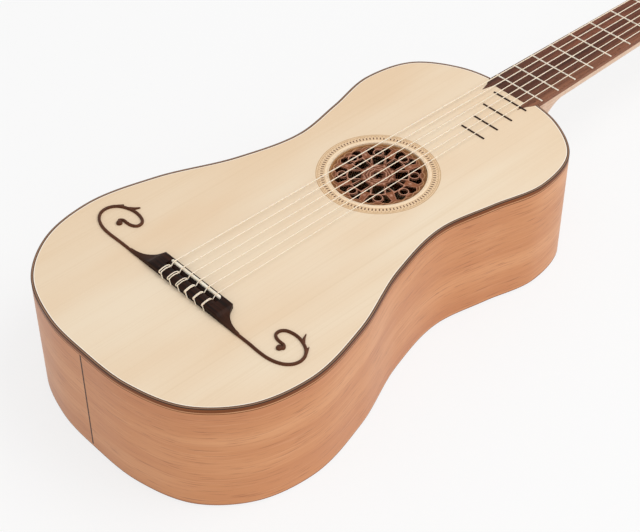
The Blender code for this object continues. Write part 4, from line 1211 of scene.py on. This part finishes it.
# Each stands at its semitone's place: the scale halves every 12 frets
def makeFrets():
    turn = np.linspace(0.0, np.pi, 9)
    inwards, ease = np.array(fretLook["ends"]).T
    ease = np.concatenate([ease, ease[::-1]])[:, None]
    for number in range(1, fretLook["count"] + 1):
        y = fretLook["scale"] * 2 ** (-number / 12) - fretLook["setback"]
        onTop = number - fretLook["ebonyFrom"]
        right = fretLook["trebleEnds"][onTop] if onTop >= 0 else boardHalf(y) - fretLook["endGap"]
        left = fretLook["bassEnds"][onTop] if onTop >= 0 else -right
        x = np.concatenate([left + inwards, (right - inwards)[::-1]])
        along = y + fretLook["halfWidth"] * np.cos(turn) * (0.8 + 0.2 * ease)
        rings = ringsFrom(x[:, None], along, fretLook["height"] * np.sin(turn) ** 0.75 * ease)
        finish = "slip" if onTop >= 0 else "fret"
        barPiece(f"fret_bar_{number:02d}", rings, finish, stands=[f"fret_{number:02d}"])


makeNeck()
makeFrets()
print("neck and frets made")


# Strings: tied over the block, then straight over saddle and nut to a winding on each peg

stringLook = {
    "radii": (0.34, 0.38, 0.43, 0.40, 0.44, 0.48),
    "spreadAtSaddle": 46.5,
    "spreadAtNut": 33.5,
    "saddleTop": 6.0,
    "nutTop": 1.5,
    "clear": 0.04,
    "looseTies": (3, 4, 5),
    "sides": 12,
}
pegLook = {
    "headThick": 14.0,
    "along": (40.0, 82.0, 124.0),
    "across": (19.0, 18.5, 18.0),
    "radius": 3.6,
    "front": 10.8,
    "windHeight": 6.2,
    "windClear": 0.1,
    "loops": 2,
    "loopSteps": 40,
    "stepGap": 0.45,
    # Drop from the front end, and radius
    "tip": [(0.0, 0.05), (0.1, 1.9), (0.5, 2.9), (1.4, 3.5), (2.2, 3.6)],
    # Drop under the head and radius, for the collar and the stem
    "collar": [
        *[(0.0, 3.6), (0.45, 3.7), (0.6, 4.9), (1.1, 5.35), (1.9, 5.35), (2.5, 4.9)],
        *[(3.0, 4.0), (3.6, 4.1), (4.2, 4.0), (5.2, 3.0), (7.5, 2.65)],
    ],
    # Drop under the head, half width and half thickness, for the thumb piece and its bead
    "thumb": [
        *[(9.6, 3.0, 2.7), (11.0, 4.4, 2.9), (13.5, 7.3, 3.1), (17.0, 9.4, 3.15), (20.6, 9.95, 2.9)],
        *[(24.4, 9.3, 2.6), (27.6, 7.5, 2.35), (29.6, 4.8, 2.1), (30.3, 2.6, 1.9), (30.7, 2.1, 1.8)],
        *[(31.3, 2.3, 2.0), (32.0, 1.9, 1.7), (32.5, 0.9, 0.8), (32.6, 0.05, 0.05)],
    ],
}


# How far across a string runs at a place along: the strings fan in evenly from the saddle to the nut
def stringAcross(index, y):
    spread = stringLook["spreadAtSaddle"]
    spread += (stringLook["spreadAtNut"] - spread) * y / neckLook["nutAt"]
    return spread / 2 - spread * index / (len(stringLook["radii"]) - 1)


# Points on the head, (across, along, up), turned back by its lean into the guitar's own directions
def fromHead(points):
    points = np.asarray(points, float)
    c, s = math.cos(headLean), math.sin(headLean)
    x, along, up = points[..., 0], points[..., 1], points[..., 2]
    return ringsFrom(x, headStart[1] + along * c + up * s, headStart[2] - along * s + up * c)


# The same the other way: one of the guitar's points as (across, along, up) on the head
def ontoHead(point):
    c, s = math.cos(headLean), math.sin(headLean)
    y, z = point[1] - headStart[1], point[2] - headStart[2]
    return np.array([point[0], y * c - z * s, y * s + z * c])


# The pegs in the strings' order: up the treble side of the head, then down its bass side
def pegPlaces():
    treble = [(pegLook["across"][i], pegLook["along"][i]) for i in range(3)]
    return treble + [(-pegLook["across"][i], pegLook["along"][i]) for i in (2, 1, 0)]


# A round tube along a path: each ring's frame is the last one's, turned by the least that keeps it square
def tubeRings(path, radius, sides):
    path = np.asarray(path, float)
    ahead = np.gradient(path, axis=0)
    ahead /= np.linalg.norm(ahead, axis=1)[:, None]
    side = np.zeros_like(path)
    side[0] = np.cross(ahead[0], (0.0, 0.0, 1.0) if abs(ahead[0][2]) < 0.9 else (1.0, 0.0, 0.0))
    side[0] /= np.linalg.norm(side[0])
    for i in range(1, len(path)):
        side[i] = side[i - 1] - ahead[i] * np.dot(side[i - 1], ahead[i])
        side[i] /= np.linalg.norm(side[i])
    up = np.cross(side, ahead)
    turn = 2 * np.pi * np.arange(sides) / sides
    ring = side[:, None] * np.cos(turn)[None, :, None] + up[:, None] * np.sin(turn)[None, :, None]
    run = np.concatenate([[0.0], np.cumsum(np.linalg.norm(np.diff(path, axis=0), axis=1))])
    grain = np.stack(np.broadcast_arrays(run[:, None], (turn * radius)[None], 0.0 * turn[None]), axis=-1)
    return path[:, None] + ring * radius, grain.reshape(-1, 3)


# The tie's route: up the block's rear, over its arch, round the string, back over and through the hole
def tieRoute(index, radius):
    x = stringAcross(index, -4.4)
    loose = index in stringLook["looseTies"]
    lane = radius + (0.5 if loose else 0.06)
    clear = radius + 0.08
    rear, front = bridgeLook["rear"] - clear, -5.6
    over = [
        (1.0, rear + 0.25, 4.2 + clear * 0.6),
        (1.0, -12.3, 4.55 + clear),
        (1.0, -9.0, 5.16 + clear),
        (1.0, front, 4.68 + clear),
        (0.7, front + lane * 0.75, 4.5 + clear),
    ]
    route = [
        (x + lane + 2.6, rear - 0.5, radius + 0.1),
        (x + lane + 1.7, rear - 0.15, 1.3),
        (x + lane + 0.6, rear, 3.0),
        *[(x + lane * share, y, z) for share, y, z in over],
        (x, front + lane * 1.1, 4.42 + clear),
        *[(x - lane * share, y, z) for share, y, z in over[::-1]],
        (x - lane * 0.9, rear, 3.6),
        (x - lane * 0.3, rear + 0.35, 3.15),
        (x, bridgeLook["rear"] + 1.2, 3.2),
        (x, -6.0, 3.2),
        (x, -4.2, 3.4),
    ]
    return smoothLine(route, 6)


# Each string: its tie, the rise out of the block to the saddle, the straight run, and the way on to its peg,
# where it meets the winding on a tangent. The winding is a helix round the peg's shaft.
def makeStrings():
    for index, radius in enumerate(stringLook["radii"]):
        nut = neckLook["nutAt"]
        saddleUp = stringLook["saddleTop"] + stringLook["clear"] + radius
        nutUp = stringLook["nutTop"] + stringLook["clear"] + radius
        rise = [(-3.6, 3.85), (-1.2, saddleUp - 0.5), (-0.4, saddleUp - 0.05), (0.4, saddleUp)]
        rise = smoothLine([(stringAcross(index, y), y, z) for y, z in rise], 4)
        run = np.linspace(0.0, 1.0, 12)[1:-1]
        far = np.array([stringAcross(index, nut + 0.6), nut + 0.6, nutUp])
        straight = rise[-1] + (far - rise[-1]) * run[:, None]
        peg = pegPlaces()[index]
        inner = 1 if peg[0] < 0 else -1
        leave = np.array([stringAcross(index, nut + 3.8), nut + 3.8, nutUp - 0.3])
        fromNut = ontoHead(leave)
        away = np.array([fromNut[0] - peg[0], fromNut[1] - peg[1]])
        wind = pegLook["radius"] + pegLook["windClear"] + radius
        touch = math.atan2(away[1], away[0]) + inner * math.acos(wind / np.linalg.norm(away))
        onPeg = (peg[0] + wind * math.cos(touch), peg[1] + wind * math.sin(touch), pegLook["windHeight"])
        meet = fromHead(onPeg)
        onward = leave + (meet - leave) * np.linspace(0.0, 1.0, 6)[:, None]
        path = np.concatenate([tieRoute(index, radius), rise, straight, far[None], onward])
        rings, grain = tubeRings(path, radius, stringLook["sides"])
        barPiece(f"gut_string_{index + 1}", rings, "gut", stands=[f"string_{index + 1}"], grain=grain)
        step = 2 * radius + pegLook["stepGap"]
        share = np.linspace(0.0, pegLook["loops"], pegLook["loops"] * pegLook["loopSteps"] + 1)
        turned = touch - inner * 2 * np.pi * share
        height = pegLook["windHeight"] - step * (1 + share)
        spiral = np.stack([peg[0] + wind * np.cos(turned), peg[1] + wind * np.sin(turned), height], axis=-1)
        rings, grain = tubeRings(fromHead(spiral), radius, stringLook["sides"])
        winding = f"winding_{index + 1}"
        barPiece(f"gut_{winding}", rings, "gut", body=f"peg_{index + 1}", stands=[winding], grain=grain)


# Pegs: turned shaft, collar and stem that flatten into an oval thumb piece with a bead at its end
def makePegs():
    under, shaft = -pegLook["headThick"] - 0.3, pegLook["radius"]
    rows = [(pegLook["front"] - drop, radius, radius) for drop, radius in pegLook["tip"]]
    rows += [(0.0, shaft, shaft)]
    rows += [(under - drop, radius, radius) for drop, radius in pegLook["collar"]]
    rows += [(under - drop, wide, thick) for drop, wide, thick in pegLook["thumb"]]
    rows = smoothLine(rows, 3)
    turn = 2 * np.pi * np.arange(32) / 32
    for index, (across, along) in enumerate(pegPlaces()):
        name = f"peg_{index + 1}"
        out, side = rows[:, 1:2] * np.cos(turn), rows[:, 2:3] * np.sin(turn)
        rings = fromHead(ringsFrom(across + out, along + side, rows[:, :1]))
        barPiece(f"turned_{name}", rings, "peg", body=name, stands=[name])


makeStrings()
makePegs()
print("strings, windings and pegs made")


# A solid of the frame with its corners eased: its own mesh, merged and cleaned, under a small bevel
def easedPiece(nodeName, finish, easing):
    mesh = nodes[nodeName].data.copy()
    mesh.name = f"eased_{nodeName}"
    work = bmesh.new()
    work.from_mesh(mesh)
    bmesh.ops.remove_doubles(work, verts=work.verts, dist=mergeWithin)
    bmesh.ops.dissolve_limit(work, angle_limit=math.radians(1.0), verts=work.verts, edges=work.edges)
    work.to_mesh(mesh)
    work.free()
    mesh.materials.clear()
    mesh.shade_smooth()
    mesh.set_sharp_from_angle(angle=math.radians(50.0))
    piece = setPiece(f"eased_{nodeName}", mesh, finish, stands=[nodeName])
    bevel = piece.modifiers.new("eased corners", "BEVEL")
    bevel.width = easing * 0.001
    bevel.segments = 3
    bevel.limit_method = "ANGLE"
    bevel.angle_limit = math.radians(35.0)
    bevel.harden_normals = True


easedPiece("head", "head", 0.9)
easedPiece("nut", "bone", 0.35)
easedPiece("fingerboard", "board", 0.2)

# Carried-over pieces take their finish on their own slots
carried = {"soundboard": "top", "back": "back", "neck_block": "inside", "tail_block": "inside"}
for plate in ("top", "back"):
    carried |= {f"lining_{plate}_bass": "inside", f"lining_{plate}_treble": "inside"}
    carried |= {f"{plate}_brace_upper": "inside", f"{plate}_brace_lower": "inside"}
for nodeName, finish in carried.items():
    nodes[nodeName].material_slots[0].material = finishes[finish][0]
print("carried-over pieces finished:", len(carried))


# Studio: a pale floor, an even sky, two large soft lamps, and the photograph's camera

studioLook = {
    "floor": "FAFAFA",
    "floorReach": 12.0,
    "floorUnder": 0.0004,
    "floorPaint": 0.8,
    "skyStrength": 0.62,
    "keyPlace": (1.2, 0.9, 2.6),
    "keySize": 2.2,
    "keyPower": 44.0,
    "fillPlace": (1.6, -1.5, 1.2),
    "fillSize": 1.6,
    "fillPower": 8.0,
}


# One where a camera, glossy or transmitted ray looks, and nought for the rays that light the object
def seenDirectly(tree):
    ray = addNode(tree, "LightPath", output="Is Camera Ray")
    for kind in ("Is Glossy Ray", "Is Transmission Ray"):
        links = {0: ray, 1: addNode(tree, "LightPath", output=kind)}
        ray = addNode(tree, "Math", {"operation": "MAXIMUM"}, links)
    return ray


# A wide flat floor that looks painted where it is seen, and still takes the guitar's shadow
def makeFloor():
    mesh = bpy.data.meshes.new("floor")
    reach = studioLook["floorReach"]
    corners = [(-reach, -reach, 0.0), (reach, -reach, 0.0), (reach, reach, 0.0), (-reach, reach, 0.0)]
    mesh.from_pydata(corners, [], [(0, 1, 2, 3)])
    material, tree, shader = startMaterial("paintedFloor", {"Roughness": 0.9})
    shader.inputs["Base Color"].default_value = hexColour(studioLook["floor"])
    glow = addNode(tree, "Emission", {"Color": hexColour(studioLook["floor"])})
    settings = {"operation": "MULTIPLY", 1: studioLook["floorPaint"]}
    share = addNode(tree, "Math", settings, {0: seenDirectly(tree)})
    mixed = addNode(tree, "MixShader", None, {0: share, 1: shader.outputs[0], 2: glow})
    tree.links.new(mixed, tree.nodes["Material Output"].inputs["Surface"])
    mesh.materials.append(material)
    floor = bpy.data.objects.new("floor", mesh)
    floor.location.z = -studioLook["floorUnder"]
    bpy.context.scene.collection.objects.link(floor)


# A square lamp that faces the guitar
def makeLamp(name, place, size, power, aim=(0.0, -0.1, 0.08)):
    lamp = bpy.data.lights.new(name, "AREA")
    lamp.size = size
    lamp.energy = power
    holder = bpy.data.objects.new(name, lamp)
    holder.location = place
    holder.rotation_mode = "QUATERNION"
    holder.rotation_quaternion = (Vector(aim) - Vector(place)).to_track_quat("-Z", "Y")
    bpy.context.scene.collection.objects.link(holder)


# An even white sky that lights the guitar, with the floor's colour where it is seen
def makeSky():
    world = bpy.data.worlds.new("studio")
    bpy.context.scene.world = world
    world.use_nodes = True
    tree = world.node_tree
    sky = tree.nodes["Background"]
    sky.inputs["Color"].default_value = (1.0, 1.0, 1.0, 1.0)
    sky.inputs["Strength"].default_value = studioLook["skyStrength"]
    seen = addNode(tree, "Background", {"Color": hexColour(studioLook["floor"])})
    mixed = addNode(tree, "MixShader", None, {0: seenDirectly(tree), 1: sky.outputs[0], 2: seen})
    tree.links.new(mixed, tree.nodes["World Output"].inputs["Surface"])


# The camera's place and its three directions in guitar coordinates, found from points seen in the photograph
def makeCamera():
    look = {
        "place": (667.8, -496.8, 775.4),
        "right": (0.68103, 0.73225, -0.00359),
        "down": (0.49307, -0.46219, -0.73706),
        "ahead": (-0.54137, 0.50019, -0.67582),
        "lens": 89.574,
    }
    camera = bpy.data.cameras.new("camera")
    camera.sensor_width = 36.0
    camera.lens = look["lens"]
    camera.clip_start = 0.05
    camera.clip_end = 60.0
    holder = bpy.data.objects.new("camera", camera)
    bpy.context.scene.collection.objects.link(holder)
    turned = Matrix([[look["right"][i], -look["down"][i], -look["ahead"][i]] for i in range(3)]).to_4x4()
    turned.translation = Vector(np.array(look["place"]) * 0.001 + zeroPoint)
    holder.matrix_world = turned
    bpy.context.scene.camera = holder


makeFloor()
makeLamp("key", studioLook["keyPlace"], studioLook["keySize"], studioLook["keyPower"])
makeLamp("fill", studioLook["fillPlace"], studioLook["fillSize"], studioLook["fillPower"])
makeSky()
makeCamera()
bpy.context.scene.view_settings.view_transform = "Standard"
print("studio set")
